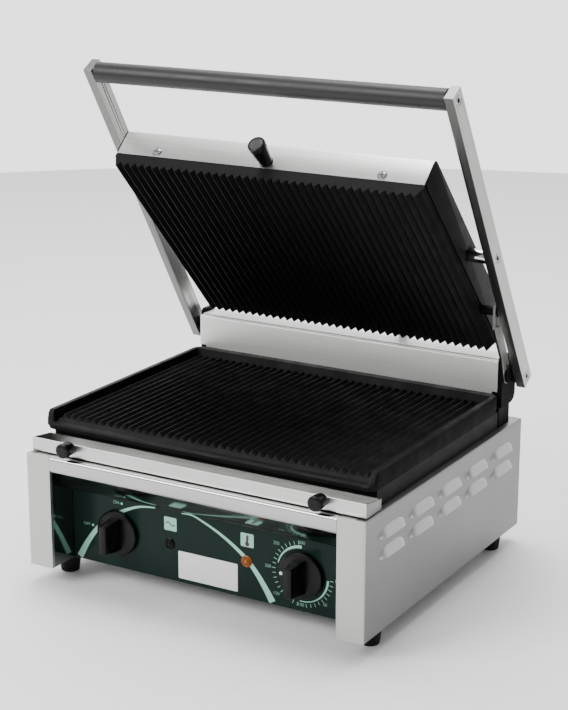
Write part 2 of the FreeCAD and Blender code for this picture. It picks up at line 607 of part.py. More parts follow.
def head():
    """Ribbed upper plate under a stainless cover between two black side walls."""
    plate = Piece("upper_plate")
    half = "cast_width / 2"
    face = "cast_face_width / 2"
    plate.pad("XZ", ("-head_front", "cast_rear"), [
        (f"-{half}", "cast_top"), (half, "cast_top"), (half, "cast_side_low"), (face, "cast_floor"),
        (f"-{face}", "cast_floor"), (f"-{half}", "cast_side_low")])
    first = "-rib_pitch * (head_rib_count - 1) / 2"
    tooth = plate.pad("XZ", ("-head_front", "cast_rear"), [
        (f"{first} - rib_pitch * 0.499", "cast_floor + 0.2"),
        (f"{first} + rib_pitch * 0.499", "cast_floor + 0.2"), (first, "cast_tip")])
    plate.repeat([tooth], "X", "rib_pitch * (head_rib_count - 1)", "head_rib_count")
    plate.done(HEAD_POSE)
    for side, sign in SIDES:
        wall = Piece(f"{side}_head_wall")
        span = sorted((f"{sign} * (head_width / 2 - head_wall)", f"{sign} * head_width / 2"), key=value)
        wall.pad("YZ", span, rect("-head_front", "cast_top", "head_rear", "head_top"))
        boss = sorted((f"{sign} * boss_inner", f"{sign} * (head_width / 2 - head_wall)"), key=value)
        wall.pad("YZ", boss, discs=[(("0", "0"), "boss_radius")])
        bore = sorted((f"{sign} * (boss_inner - 1)", f"{sign} * (head_width / 2 + 1)"), key=value)
        wall.pocket("YZ", bore, discs=[(("0", "0"), "journal_radius + running_gap")])
        wall.done(HEAD_POSE)
    cover = Piece("head_cover")
    edge = "head_width / 2 - head_wall - 0.1"
    cover.pad("YZ", (f"-({edge})", edge), [
        ("-head_front", "cast_top + 0.2"), ("-head_front", "head_top"), ("head_rear", "head_top"),
        ("head_rear", "cast_top + 0.2"), ("head_rear - skin", "cast_top + 0.2"),
        ("head_rear - skin", "head_top - skin"), ("-head_front + skin", "head_top - skin"),
        ("-head_front + skin", "cast_top + 0.2")])
    cover.pocket("XY", ("head_top - 2 * skin", "head_top + 1"),
                 discs=[(("conduit_offset", "conduit_exit"), "conduit_radius - 1")])
    cover.done(HEAD_POSE)
    wool = Piece("upper_insulation")
    wool.pad("XY", ("cast_top + 9", "head_top - skin - 3"), rect(
        "-wool_reach", "-head_front + wool_gap", "wool_reach", "head_rear - wool_gap"),
        discs=[(("conduit_offset", "conduit_exit"), "conduit_radius + 1")])
    wool.done(HEAD_POSE)
    name_part(heater("upper_heater", value("cast_top + heater_radius")), "upper_heater", HEAD_POSE)
    screws = []
    for side, sign in SIDES:
        screws.append(rod(f"cover_screw_{side}", "y", (
            f"{sign} * cover_screw_reach", "-head_front - 2.2", "cover_screw_level"), "4.6", "2.2"))
    name_part(group("cover_screw_group", screws), "cover_screws", HEAD_POSE)
    knob = taper("lid_knob_stub", "y", ("0", "-head_front - lid_knob_length", "lid_knob_level"),
                 "lid_knob_tip", "lid_knob_root", "lid_knob_length")
    name_part(group("lid_knob_group", [knob]), "lid_knob", HEAD_POSE)
    cap = taper("lid_knob_disc", "y", ("0", "-head_front - lid_knob_length - 1.6", "lid_knob_level"),
                "lid_knob_tip - 2.2", "lid_knob_tip - 1.4", "1.6")
    name_part(group("lid_knob_cap_group", [cap]), "lid_knob_cap", HEAD_POSE)
    stages = []
    for stage, near, far, radius in (
            ("collar", "head_width / 2 + 0.02", "stay_inner - 0.8", "guide_pin + 2"),
            ("guide", "stay_inner - 0.8", "stay_outer + 0.8", "guide_pin"),
            ("cap", "stay_outer + 0.8", "stay_outer + 2.4", "guide_pin + 3")):
        stages.append(rod(f"{stage}_stage", "x", (near, "guide_back", "guide_drop"), radius,
                          f"{far} - ({near})"))
    name_part(fuse("guide_pin_solid", *stages), "stay_guide_pin", HEAD_POSE)
    nut = rod("head_gland_nut", "z", ("conduit_offset", "conduit_exit", "head_top"),
              "nut_radius", "nut_height")
    name_part(group("head_gland_group", [nut]), "head_conduit_gland", HEAD_POSE)


def stay():
    """Slotted link between the right hinge bracket and the head's guide pin."""
    span = ("stay_inner", "stay_outer")
    link = Piece("stay")
    link.pad("YZ", span, [
        ("stay_depth - stay_eye", "stay_level"), ("stay_depth - 5.5", "stay_level - 5.8"),
        ("stay_depth", "stay_level - stay_eye"), ("stay_depth + 5.5", "stay_level - 5.8"),
        ("stay_depth + stay_eye", "stay_level"), ("stay_depth + 5", "stay_level + 12"),
        ("slot_depth + 16", "slot_low - 12"), ("slot_depth + 8.2", "slot_low + 4"),
        ("slot_depth + 8.2", "slot_high + 2"), ("slot_depth + 4.5", "slot_high + 5.5"),
        ("slot_depth - 4.5", "slot_high + 5.5"), ("slot_depth - 8.2", "slot_high + 2"),
        ("slot_depth - 8.2", "slot_low - 1"), ("slot_depth - 5", "slot_low - 7"),
        ("stay_depth - 16", "stay_level + 24")])
    through = ("stay_inner - 1", "stay_outer + 1")
    link.pocket("YZ", through, discs=[(("stay_depth", "stay_level"), "stay_pin + running_gap")])
    front, near = "slot_depth - slot_width / 2", "slot_depth - slot_width / 4"
    back, far = "slot_depth + slot_width / 2", "slot_depth + slot_width / 4"
    link.pocket("YZ", through, [
        (front, "slot_low + 2"), (near, "slot_low"), (far, "slot_low"), (back, "slot_low + 2"),
        (back, "slot_high - 2"), (far, "slot_high"), (near, "slot_high"), (front, "slot_high - 2")])
    link.done()


def drip_tray():
    """Open trough across the front with two pull knobs."""
    tray = Piece("drip_tray")
    half = "tray_width / 2"
    tray.pad("YZ", (f"-{half}", half), [
        ("-tray_front", "tray_low"), ("-tray_rear", "tray_low"), ("-tray_rear", "tray_high - 4"),
        ("-tray_rear - tray_skin", "tray_high - 4"), ("-tray_rear - tray_skin", "tray_low + tray_skin"),
        ("-tray_front + tray_skin", "tray_low + tray_skin"),
        ("-tray_front + tray_skin", "tray_high"), ("-tray_front", "tray_high")])
    for _, sign in SIDES:
        span = sorted((f"{sign} * ({half} - tray_skin)", f"{sign} * {half}"), key=value)
        tray.pad("YZ", span, rect("-tray_front + 0.01", "tray_low", "-tray_rear", "tray_high - 4"))
    tray.done()
    knobs = []
    for side, sign in SIDES:
        knobs.append(rod(f"tray_knob_{side}", "y", (
            f"{sign} * tray_knob_reach", "-tray_front - tray_knob_length", "tray_knob_level"),
            "tray_knob_radius", "tray_knob_length"))
    name_part(group("tray_knob_group", knobs), "tray_knobs")


def control_knobs():
    """Round knobs with a finger bar; the switch bar and the dial bar stand upright at rest."""
    face = f"{PANEL} - label_skin - 0.4"
    for label, sign in (("switch_knob", "-1"), ("thermostat_knob", "1")):
        centre = (f"{sign} * knob_reach", "knob_level")
        knob = Piece(label)
        knob.pad("XZ", (f"{face} - knob_disc", face), discs=[(centre, "knob_radius")])
        knob.pad("XZ", (f"{face} - knob_disc - grip_height", f"{face} - knob_disc"), rect(
            f"{centre[0]} - grip_width / 2", "knob_level - grip_length / 2",
            f"{centre[0]} + grip_width / 2", "knob_level + grip_length / 2"))
        knob.pad("XZ", (face, f"{PANEL} + skin"), discs=[(centre, "stem_radius")])
        knob.done()


def electrics():
    """Switch, thermostat with its probe, lamps, terminals and the supply inlet."""
    behind = f"{PANEL} + skin + 0.3"
    bodies = (("switch_body", "-1", "17", "20", "42"), ("thermostat_body", "1", "22", "19", "30"))
    for label, sign, half_wide, half_high, depth in bodies:
        centre = f"{sign} * knob_reach"
        case = block(f"{label}_case", (f"{centre} - {half_wide}", f"{centre} + {half_wide}"),
                     (behind, f"{behind} + {depth}"),
                     (f"knob_level - {half_high}", f"knob_level + {half_high}"))
        name_part(group(f"{label}_group", [case]), label)
    for label, sign in (("green_lamp", "-1"), ("amber_lamp", "1")):
        front = f"{PANEL} - label_skin - 3"
        barrel = rod(f"{label}_barrel", "y", (f"{sign} * lamp_reach", front, "lamp_level"),
                     "lamp_radius", "26")
        name_part(group(f"{label}_group", [barrel]), label)
    bulb_level = value("plate_low - 8")
    box_back = value(behind) + 30
    reach = value("knob_reach")
    hole = value("probe_reach")
    outlet = value("knob_level") + 9.5
    route = [Vector(reach, box_back, outlet), Vector(reach, box_back + 22, outlet),
             Vector(hole, -hole - 22, outlet + 22), Vector(hole, -hole, 118),
             Vector(hole, -hole, bulb_level), Vector(hole, 30, bulb_level)]
    probe = tube("thermostat_probe", route, value("probe_radius"), value("probe_bend"))
    name_part(probe, "thermostat_probe")
    block_case = block("terminal_case", ("95", "150"), ("120", "142"),
                       (f"{FLOOR} + skin", f"{FLOOR} + skin + 24"))
    name_part(group("terminal_group", [block_case]), "terminal_block")
    spot = ("inlet_reach", REAR, "inlet_level")
    flange = rod("inlet_flange", "y", spot, "inlet_radius", "inlet_length")
    sleeve = rod("inlet_sleeve", "y", (spot[0], f"{REAR} - inlet_tail", spot[2]),
                 "inlet_radius - 3.1", "inlet_tail")
    bore = rod("inlet_bore", "y", (spot[0], f"{REAR} - inlet_tail - 1", spot[2]), "inlet_bore",
               "inlet_tail + 2 + inlet_length")
    name_part(cut("inlet_cut", fuse("inlet_solid", flange, sleeve), bore), "cable_inlet")
    heads = []
    for across in (-1, 0, 1):
        for row, level in (("low", f"{FLOOR} + 12"), ("high", f"{ROOF} - 11.7")):
            spot = (f"{across} * case_screw_reach", REAR, level)
            heads.append(rod(f"case_screw_{row}_{across + 1}", "y", spot, "case_screw_radius", "2"))
    name_part(group("case_screw_group", heads), "casing_screws")


def conduit():
    """Flexible conduit that carries the heater leads from the casing up to the head."""
    base = rod("base_gland_nut", "z", ("conduit_offset", "conduit_depth", ROOF), "nut_radius",
               "nut_height")
    name_part(group("base_gland_group", [base]), "base_conduit_gland")
    across = value("conduit_offset")
    start_y = value("conduit_depth")
    start_z = value(f"{ROOF} + nut_height")
    tilt = math.radians(value("head_tilt"))
    back = Vector(0, math.cos(tilt), -math.sin(tilt))
    lift = Vector(0, math.sin(tilt), math.cos(tilt))
    pivot = Vector(across, value(PIVOT_Y), value(PIVOT_Z))
    mouth = pivot + back * value("conduit_exit") + lift * value("head_top + nut_height")
    heading = math.atan2(lift.z, lift.y)
    swing = (heading + math.pi / 2) / 3
    run = 2 * value("conduit_bend") * math.tan(swing / 2)
    arch = [mouth, mouth + lift * run * 0.8]
    for step in (1, 2):
        aim = heading - swing * step
        arch.append(arch[-1] + Vector(0, run * math.cos(aim), run * math.sin(aim)))
    rear_y = arch[-1].y
    join = Vector(across, rear_y - 1, start_z + 98)
    lower = [Vector(across, start_y, start_z), Vector(across, start_y, start_z + 34),
             Vector(across, rear_y - 2.2, start_z + 78), join]
    upper = [join, Vector(across, rear_y + 0.2, start_z + 118)] + arch[::-1]
    name_part(tube("conduit_lower", lower, value("conduit_radius")), "conduit_lower")
    name_part(tube("conduit_upper", upper, value("conduit_radius")), "conduit_upper")


side_panels()
front_panel()
casing_shell()
feet()
lower_grill()
hinge()
lid_frame()
head()
stay()
drip_tray()
control_knobs()
electrics()
conduit()
doc.recompute()

for item in doc.Objects:
    if {"Invalid", "Error"} & set(item.State):
        raise ValueError(f"{item.Name} failed: {item.State}")
for item in parts:
    if item.Shape.isNull() or not item.Shape.isValid():
        raise ValueError(f"{item.Label} has no valid shape")

os.makedirs("parts", exist_ok=True)
for item in parts:
    item.Shape.exportStep(f"parts/{item.Label}.step")
print(len(parts), "sub-parts")
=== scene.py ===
"""Looks of an open contact grill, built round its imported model.

Meshes are drawn in millimetres and scaled to metres as each piece is finished. The frame gives the
places: boxes of the nodes, joint positions and the whole object's bounds.
"""
import json
import logging
import math
from dataclasses import dataclass
from enum import Enum
from typing import Callable, Iterable, Optional, Sequence

import bmesh
import bpy
from mathutils import Matrix, Vector

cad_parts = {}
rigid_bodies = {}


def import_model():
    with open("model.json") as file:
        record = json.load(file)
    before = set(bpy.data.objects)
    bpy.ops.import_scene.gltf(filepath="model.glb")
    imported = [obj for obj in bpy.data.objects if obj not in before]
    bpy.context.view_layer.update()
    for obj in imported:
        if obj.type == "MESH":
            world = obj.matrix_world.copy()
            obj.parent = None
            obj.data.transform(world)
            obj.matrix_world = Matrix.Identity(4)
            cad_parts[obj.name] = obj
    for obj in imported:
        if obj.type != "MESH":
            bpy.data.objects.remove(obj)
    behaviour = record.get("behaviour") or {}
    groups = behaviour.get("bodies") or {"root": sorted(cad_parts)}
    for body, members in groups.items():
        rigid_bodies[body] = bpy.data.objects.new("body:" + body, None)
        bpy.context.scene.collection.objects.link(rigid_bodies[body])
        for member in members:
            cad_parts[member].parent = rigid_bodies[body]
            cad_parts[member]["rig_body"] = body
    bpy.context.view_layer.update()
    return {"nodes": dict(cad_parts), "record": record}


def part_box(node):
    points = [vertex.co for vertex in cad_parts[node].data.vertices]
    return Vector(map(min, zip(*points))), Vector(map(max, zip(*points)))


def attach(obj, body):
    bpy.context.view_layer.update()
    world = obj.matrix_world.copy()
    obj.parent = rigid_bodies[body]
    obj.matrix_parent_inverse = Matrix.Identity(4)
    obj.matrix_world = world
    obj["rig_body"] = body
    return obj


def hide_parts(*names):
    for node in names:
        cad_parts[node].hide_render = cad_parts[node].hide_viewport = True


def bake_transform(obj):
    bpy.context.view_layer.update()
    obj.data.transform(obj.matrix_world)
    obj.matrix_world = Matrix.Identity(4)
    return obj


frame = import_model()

LOG = logging.getLogger("contact_grill")
MM = 0.001
Point = tuple[float, float]


class Body(Enum):
    """Rigid bodies of the grill."""

    BASE = "base"
    LID = "lid_frame"
    HEAD = "upper_head"
    STAY = "stay"
    TRAY = "drip_tray"
    SWITCH = "switch_knob"
    DIAL = "thermostat_knob"


class Slot(Enum):
    """Material slots of the record."""

    STAINLESS = "stainless"
    POLISHED = "polished"
    CAST = "cast_black"
    PAINT = "black_paint"
    CHROME = "chrome_pin"
    STEEL = "steel"
    PLASTIC = "black_plastic"
    GREY_CAP = "grey_cap"
    RUBBER = "rubber_foot"
    LABEL = "label_green"
    BADGE = "badge_white"
    GREEN = "green_lens"
    AMBER = "amber_lens"
    WOOL = "wool"
    ELEMENT = "element"
    TERMINAL = "terminal"
    CONDUIT = "conduit_sleeve"


class Axis(Enum):
    """Directions along which outlines are drawn out."""

    X = 0
    Y = 1
    Z = 2


# ---------------------------------------------------------------- materials


def linear(code: str) -> tuple[float, float, float, float]:
    """Turn an sRGB hex colour into linear values.

    Args:
        code: Colour such as "#C9C9C7".

    Returns:
        Linear red, green, blue and full alpha.
    """
    channels = []
    for start in (1, 3, 5):
        level = int(code[start:start + 2], 16) / 255
        channels.append(level / 12.92 if level <= 0.04045 else ((level + 0.055) / 1.055) ** 2.4)
    return (*channels, 1.0)


def add_node(tree: bpy.types.NodeTree, kind: str, settings: Optional[dict] = None,
             links: Optional[dict] = None) -> bpy.types.Node:
    """Add one shader node.

    Args:
        tree: Node tree of the material.
        kind: Blender's node type.
        settings: Attribute or input values by name; an input's name wins over an attribute's.
        links: Output sockets by the name or number of the input that they feed.

    Returns:
        The new node.
    """
    node = tree.nodes.new(kind)
    for name, value in (settings or {}).items():
        if isinstance(name, int) or name in node.inputs:
            node.inputs[name].default_value = value
        else:
            setattr(node, name, value)
    for name, socket in (links or {}).items():
        tree.links.new(socket, node.inputs[name])
    return node


def start_material(name: str) -> tuple[bpy.types.Material, bpy.types.NodeTree, bpy.types.Node]:
    """Make a material with one Principled shader.

    Args:
        name: Name of the finish.

    Returns:
        The material, its node tree and its shader.
    """
    material = bpy.data.materials.new(name)
    material.use_nodes = True
    tree = material.node_tree
    return material, tree, tree.nodes["Principled BSDF"]


def spread(tree: bpy.types.NodeTree, value: bpy.types.NodeSocket, low: float, high: float,
           from_low: float = 0.0, from_high: float = 1.0) -> bpy.types.NodeSocket:
    """Map a value from one range to another.

    Args:
        tree: Node tree.
        value: Socket to read.
        low: Result at from_low.
        high: Result at from_high.
        from_low: Least value read.
        from_high: Greatest value read.

    Returns:
        The mapped value's socket.
    """
    settings = {"From Min": from_low, "From Max": from_high, "To Min": low, "To Max": high}
    return add_node(tree, "ShaderNodeMapRange", settings, {"Value": value}).outputs["Result"]


def noise(tree: bpy.types.NodeTree, size_mm: float, detail: float = 2.0,
          stretch: Sequence[float] = (1.0, 1.0, 1.0)) -> bpy.types.NodeSocket:
    """Noise in object space with a real feature size.

    Args:
        tree: Node tree.
        size_mm: Width of one feature in millimetres.
        detail: Octaves of finer noise.
        stretch: How much longer a feature is along X, Y and Z.

    Returns:
        The noise factor's socket.
    """
    place = add_node(tree, "ShaderNodeTexCoord").outputs["Object"]
    scale = [1 / (size_mm * MM * longer) for longer in stretch]
    mapped = add_node(tree, "ShaderNodeMapping", {"Scale": scale}, {"Vector": place})
    settings = {"Scale": 1.0, "Detail": detail, "Roughness": 0.55}
    return add_node(tree, "ShaderNodeTexNoise", settings,
                    {"Vector": mapped.outputs["Vector"]}).outputs["Fac"]


def tint(tree: bpy.types.NodeTree, factor: bpy.types.NodeSocket, dark: str,
         light: str) -> bpy.types.NodeSocket:
    """Colour that runs from dark to light with a factor.

    Args:
        tree: Node tree.
        factor: Socket from 0 to 1.
        dark: Hex colour at 0.
        light: Hex colour at 1.

    Returns:
        The colour's socket.
    """
    ramp = add_node(tree, "ShaderNodeValToRGB", None, {"Fac": factor})
    ramp.color_ramp.elements[0].color = linear(dark)
    ramp.color_ramp.elements[1].color = linear(light)
    return ramp.outputs["Color"]


def bump(tree: bpy.types.NodeTree, height: bpy.types.NodeSocket, depth_mm: float,
         strength: float = 1.0) -> bpy.types.NodeSocket:
    """Normal from a height field of real depth.

    Args:
        tree: Node tree.
        height: Height from 0 to 1.
        depth_mm: Depth of the relief in millimetres.
        strength: Share of the relief that shows.

    Returns:
        The normal's socket.
    """
    settings = {"Distance": depth_mm * MM, "Strength": strength}
    return add_node(tree, "ShaderNodeBump", settings, {"Height": height}).outputs["Normal"]


def sideways(tree: bpy.types.NodeTree) -> bpy.types.NodeSocket:
    """How far a face looks along X, from 0 to 1.

    Args:
        tree: Node tree.

    Returns:
        The share's socket.
    """
    normal = add_node(tree, "ShaderNodeTexCoord").outputs["Normal"]
    across = add_node(tree, "ShaderNodeSeparateXYZ", None, {"Vector": normal}).outputs["X"]
    return add_node(tree, "ShaderNodeMath", {"operation": "ABSOLUTE"}, {0: across}).outputs[0]


@dataclass(frozen=True)
class BrushedSteel:
    """Stainless sheet with a linear brushed finish: long fine streaks that smear reflections.

    Real brush lines are about 0.1 mm apart; they are drawn 0.9 mm wide so that they show. Faces
    that don't look along X can be given a darker colour: painted shade on the narrow faces.
    """

    name: str
    grain: Axis = Axis.X
    dark: str = "#A9A9A7"
    light: str = "#C6C6C4"
    roughness: float = 0.34
    edge_painted_shade: float = 1.0
    streak_mm: float = 0.9
    depth_mm: float = 0.0015

    def build(self) -> bpy.types.Material:
        """Make the material."""
        material, tree, shader = start_material(self.name)
        long_way = [1.0, 1.0, 1.0]
        long_way[self.grain.value] = 90.0
        streaks = noise(tree, self.streak_mm, 3.0, long_way)
        clouds = noise(tree, 70.0, 2.0)
        mixed = add_node(tree, "ShaderNodeMath", {"operation": "MULTIPLY_ADD", 1: 0.45},
                         {0: clouds, 2: spread(tree, streaks, 0.0, 0.6)}).outputs[0]
        colour = tint(tree, mixed, self.dark, self.light)
        # Faces that don't look along X are darkened: painted shade.
        if self.edge_painted_shade < 1.0:
            shade = spread(tree, sideways(tree), self.edge_painted_shade, 1.0, 0.5, 0.85)
            colour = add_node(tree, "ShaderNodeVectorMath", {"operation": "SCALE"},
                              {0: colour, "Scale": shade}).outputs["Vector"]
        tree.links.new(colour, shader.inputs["Base Color"])
        rough = spread(tree, streaks, self.roughness - 0.04, self.roughness + 0.04, 0.3, 0.7)
        tree.links.new(rough, shader.inputs["Roughness"])
        tree.links.new(bump(tree, streaks, self.depth_mm), shader.inputs["Normal"])
        shader.inputs["Metallic"].default_value = 1.0
        return material


@dataclass(frozen=True)
class BrightSteel:
    """Smooth cold-rolled stainless: nearly a mirror, with faint waviness from bending."""

    name: str
    colour: str = "#B4B6B4"
    shade: str = "#9EA09E"
    roughness: float = 0.11

    def build(self) -> bpy.types.Material:
        """Make the material."""
        material, tree, shader = start_material(self.name)
        waves = noise(tree, 45.0, 1.0, (3.0, 1.0, 1.0))
        haze = noise(tree, 6.0, 3.0, (8.0, 1.0, 1.0))
        rough = spread(tree, haze, self.roughness - 0.03, self.roughness + 0.05, 0.3, 0.7)
        tree.links.new(rough, shader.inputs["Roughness"])
        tree.links.new(tint(tree, haze, self.shade, self.colour), shader.inputs["Base Color"])
        tree.links.new(bump(tree, waves, 0.12, 0.3), shader.inputs["Normal"])
        shader.inputs["Metallic"].default_value = 1.0
        return material


@dataclass(frozen=True)
class SandCastIron:
    """Sand-cast iron under a thin black enamel: pebbled skin with dull highlights."""

    name: str
    dark: str = "#050505"
    light: str = "#0D0D0D"
    roughness: float = 0.58
    grain_mm: float = 1.1
    depth_mm: float = 0.22
    shine: float = 0.15
    shaded_side_shine: float = 0.03

    def build(self) -> bpy.types.Material:
        """Make the material."""
        material, tree, shader = start_material(self.name)
        grains = noise(tree, self.grain_mm, 3.0)
        patches = noise(tree, 22.0, 2.0)
        tree.links.new(tint(tree, patches, self.dark, self.light), shader.inputs["Base Color"])
        rough = spread(tree, patches, self.roughness - 0.08, self.roughness + 0.1, 0.3, 0.7)
        tree.links.new(rough, shader.inputs["Roughness"])
        tree.links.new(bump(tree, grains, self.depth_mm, 0.8), shader.inputs["Normal"])
        # Reflection is turned down on faces that look along X: painted shade on the sides.
        shine = spread(tree, sideways(tree), self.shine, self.shaded_side_shine, 0.6, 0.95)
        tree.links.new(shine, shader.inputs["Specular IOR Level"])
        return material


@dataclass(frozen=True)
class Moulded:
    """Moulded plastic, rubber, paint or ink: one colour with a fine texture and light wear."""

    name: str
    dark: str
    light: str
    roughness: float = 0.4
    grain_mm: float = 0.8
    depth_mm: float = 0.03
    coat: float = 0.0
    shine: float = 0.4

    def build(self) -> bpy.types.Material:
        """Make the material."""
        material, tree, shader = start_material(self.name)
        grain = noise(tree, self.grain_mm, 2.0)
        patches = noise(tree, 18.0, 3.0)
        tree.links.new(tint(tree, patches, self.dark, self.light), shader.inputs["Base Color"])
        rough = spread(tree, patches, self.roughness - 0.05, self.roughness + 0.05, 0.3, 0.7)
        tree.links.new(rough, shader.inputs["Roughness"])
        tree.links.new(bump(tree, grain, self.depth_mm), shader.inputs["Normal"])
        shader.inputs["Coat Weight"].default_value = self.coat
        shader.inputs["Coat Roughness"].default_value = 0.05
        shader.inputs["Specular IOR Level"].default_value = self.shine
        return material


@dataclass(frozen=True)
class PlainMetal:
    """Turned, plated or drawn metal: smooth, with faint lathe marks."""

    name: str
    dark: str
    light: str
    roughness: float = 0.2
    mark_mm: float = 0.5

    def build(self) -> bpy.types.Material:
        """Make the material."""
        material, tree, shader = start_material(self.name)
        marks = noise(tree, self.mark_mm, 2.0, (1.0, 12.0, 12.0))
        tree.links.new(tint(tree, marks, self.dark, self.light), shader.inputs["Base Color"])
        rough = spread(tree, marks, self.roughness - 0.05, self.roughness + 0.06, 0.3, 0.7)
        tree.links.new(rough, shader.inputs["Roughness"])
        tree.links.new(bump(tree, marks, 0.01), shader.inputs["Normal"])
        shader.inputs["Metallic"].default_value = 1.0
        return material


@dataclass(frozen=True)
class LampLens:
    """Tinted styrene lens over a neon lamp: clear skin and deep colour."""

    name: str
    dark: str
    light: str
    shine: float = 0.5

    def build(self) -> bpy.types.Material:
        """Make the material."""
        material, tree, shader = start_material(self.name)
        depth = noise(tree, 3.5, 1.0)
        tree.links.new(tint(tree, depth, self.dark, self.light), shader.inputs["Base Color"])
        tree.links.new(spread(tree, depth, 0.12, 0.2), shader.inputs["Roughness"])
        shader.inputs["Transmission Weight"].default_value = 0.2
        shader.inputs["Specular IOR Level"].default_value = self.shine
        return material


class Finishes:
    """All finishes of the grill, each built once."""

    def __init__(self) -> None:
        """Build every material."""
        # Sheet goods: streaks run with the rolling, so reflections smear across them.
        # The side, top, rear and bottom sheets get a darker colour than the front post folded from
        # the same sheet: painted shade.
        self.casing = BrushedSteel("casing_sheet_painted_shade", Axis.Y, "#737473", "#8D8E8D",
                                   0.42).build()
        # The hoods face up towards the light, so they are given a paler colour than the flat sheet:
        # painted light.
        self.hood = BrushedSteel("louvre_hood_painted_light", Axis.Y, "#A6A7A6", "#C2C3C2", 0.4).build()
        # The front post gets a lighter colour than the side sheet it is folded from: painted light
        # on its front face.
        self.front_post = BrushedSteel("front_post_painted_light", Axis.Z, "#A9A9A7", "#C0C0BE",
                                       0.38).build()
        # Pale and fairly sharp: the cover shows soft bands of the room along its bends.
        self.cover = BrushedSteel("brushed_cover_sheet", Axis.X, "#C4C4C2", "#DCDCDA", 0.36).build()
        # A coarser brush: the hinge box looks matt and even.
        self.backsplash = BrushedSteel("brushed_hinge_box", Axis.X, "#CDCDCB", "#DEDEDC",
                                       0.52).build()
        # Flat bar: bright broad faces; the narrow faces are given a darker colour, painted shade.
        self.arm = BrushedSteel("flat_bar_painted_shade_edges", Axis.Z, "#A6A6A4", "#C4C4C2", 0.36,
                                0.38).build()
        self.tray = BrushedSteel("brushed_tray_sheet", Axis.X, "#B8B8B6", "#D2D2D0", 0.32).build()
        # Link strip: its narrow faces are given a darker colour, painted shade.
        self.stay = BrushedSteel("link_strip_painted_shade_edges", Axis.Z, "#9C9C9A", "#BDBDBB", 0.3,
                                 0.3).build()
        # Bent bright sheet: near mirrors that pull the neighbours' edges into wavy lines.
        self.bright = BrightSteel("bright_bent_sheet").build()
        # The return wall in the recess is a darker, greener copy of the bright sheet: painted
        # shade.
        self.return_wall = BrightSteel("recess_return_painted_shade", "#86908D", "#76807D", 0.07).build()
        # Castings: a pebbled black skin whose sides, facing along X, are given less reflection:
        # painted shade.
        self.cast = SandCastIron("enamelled_cast_iron").build()
        self.bracket = SandCastIron("enamelled_cast_bracket", depth_mm=0.12, shine=0.06,
                                    shaded_side_shine=0.03).build()
        # Stoved paint: flat black with hardly any highlight.
        self.skirt = Moulded("black_stoved_paint", "#050505", "#090909", 0.5, 0.6,
                             shine=0.07).build()
        # Phenolic and nylon: soft grey highlights along the rounded edges.
        self.grip = Moulded("moulded_phenolic_handle", "#111112", "#1A1A1B", 0.45, 0.7,
                            0.04).build()
        self.knob = Moulded("moulded_nylon_knob", "#030303", "#070707", 0.3, 0.6, 0.02,
                            shine=0.2).build()
        self.grey_cap = Moulded("moulded_grey_cap", "#3C3C3D", "#4A4A4B", 0.3, 0.6, 0.01).build()
        # Rubber: dusty black that stays dark at every angle.
        self.rubber = Moulded("moulded_rubber_foot", "#070707", "#0E0E0E", 0.7, 0.9, 0.05,
                              shine=0.2).build()
        # Label film and its inks: dead smooth, even colour, print a shade glossier than the sheet.
        self.label = Moulded("printed_polyester_label", "#0D1E1B", "#122420", 0.2, 1.5, 0.002, 0.0,
                             0.1).build()
        self.mint = Moulded("mint_screen_ink", "#86BFA9", "#95CBB7", 0.3, 0.5, 0.004).build()
        self.white = Moulded("white_screen_ink", "#D6DAD8", "#E6E9E7", 0.3, 0.5, 0.004).build()
        self.maroon = Moulded("maroon_screen_ink", "#3A1418", "#4A1C20", 0.35, 0.5, 0.004).build()
        self.badge = Moulded("white_coated_plate", "#D8D8D8", "#E4E4E4", 0.35, 2.0, 0.004).build()
        # Lenses: unlit, so they show a deep colour and one small highlight.
        self.green = LampLens("dark_green_lens", "#030B08", "#07160F", 0.12).build()
        self.amber = LampLens("amber_lens", "#6E3203", "#B86A0C", 0.5).build()
        # Plated and drawn metal: sharp bright highlights on small round parts.
        self.chrome = PlainMetal("chromed_pin", "#C6C6C7", "#DCDCDD", 0.12).build()
        self.steel = PlainMetal("zinc_plated_screw", "#9C9D9F", "#BCBDBF", 0.24).build()
        self.element = PlainMetal("incoloy_heater_sheath", "#4A4642", "#6B655F", 0.4, 2.0).build()
        self.conduit = PlainMetal("galvanised_conduit", "#8E9092", "#B3B5B7", 0.3, 1.0).build()
        # Hidden inside: straw-coloured fibre and off-white glazed clay.
        self.wool = Moulded("mineral_wool_board", "#B9AE90", "#D2C8AC", 0.9, 1.5, 0.4).build()
        self.porcelain = Moulded("glazed_porcelain", "#CFCBC0", "#DEDBD2", 0.2, 4.0, 0.01,
                                 0.4).build()


# ---------------------------------------------------------------- mesh helpers


def spin_to(axis: Axis) -> Matrix:
    """Turn that takes an outline drawn flat in XY, and +Z, to lie across an axis.

    Args:
        axis: Axis.X takes (u, v) to (Y, Z); Axis.Y takes it to (X, Z); Axis.Z leaves it.

    Returns:
        The rotation or, for Axis.Y, the mirrored turn.
    """
    if axis is Axis.X:
        return Matrix(((0, 0, 1, 0), (1, 0, 0, 0), (0, 1, 0, 0), (0, 0, 0, 1)))
    if axis is Axis.Y:
        return Matrix(((1, 0, 0, 0), (0, 0, 1, 0), (0, 1, 0, 0), (0, 0, 0, 1)))
    return Matrix.Identity(4)


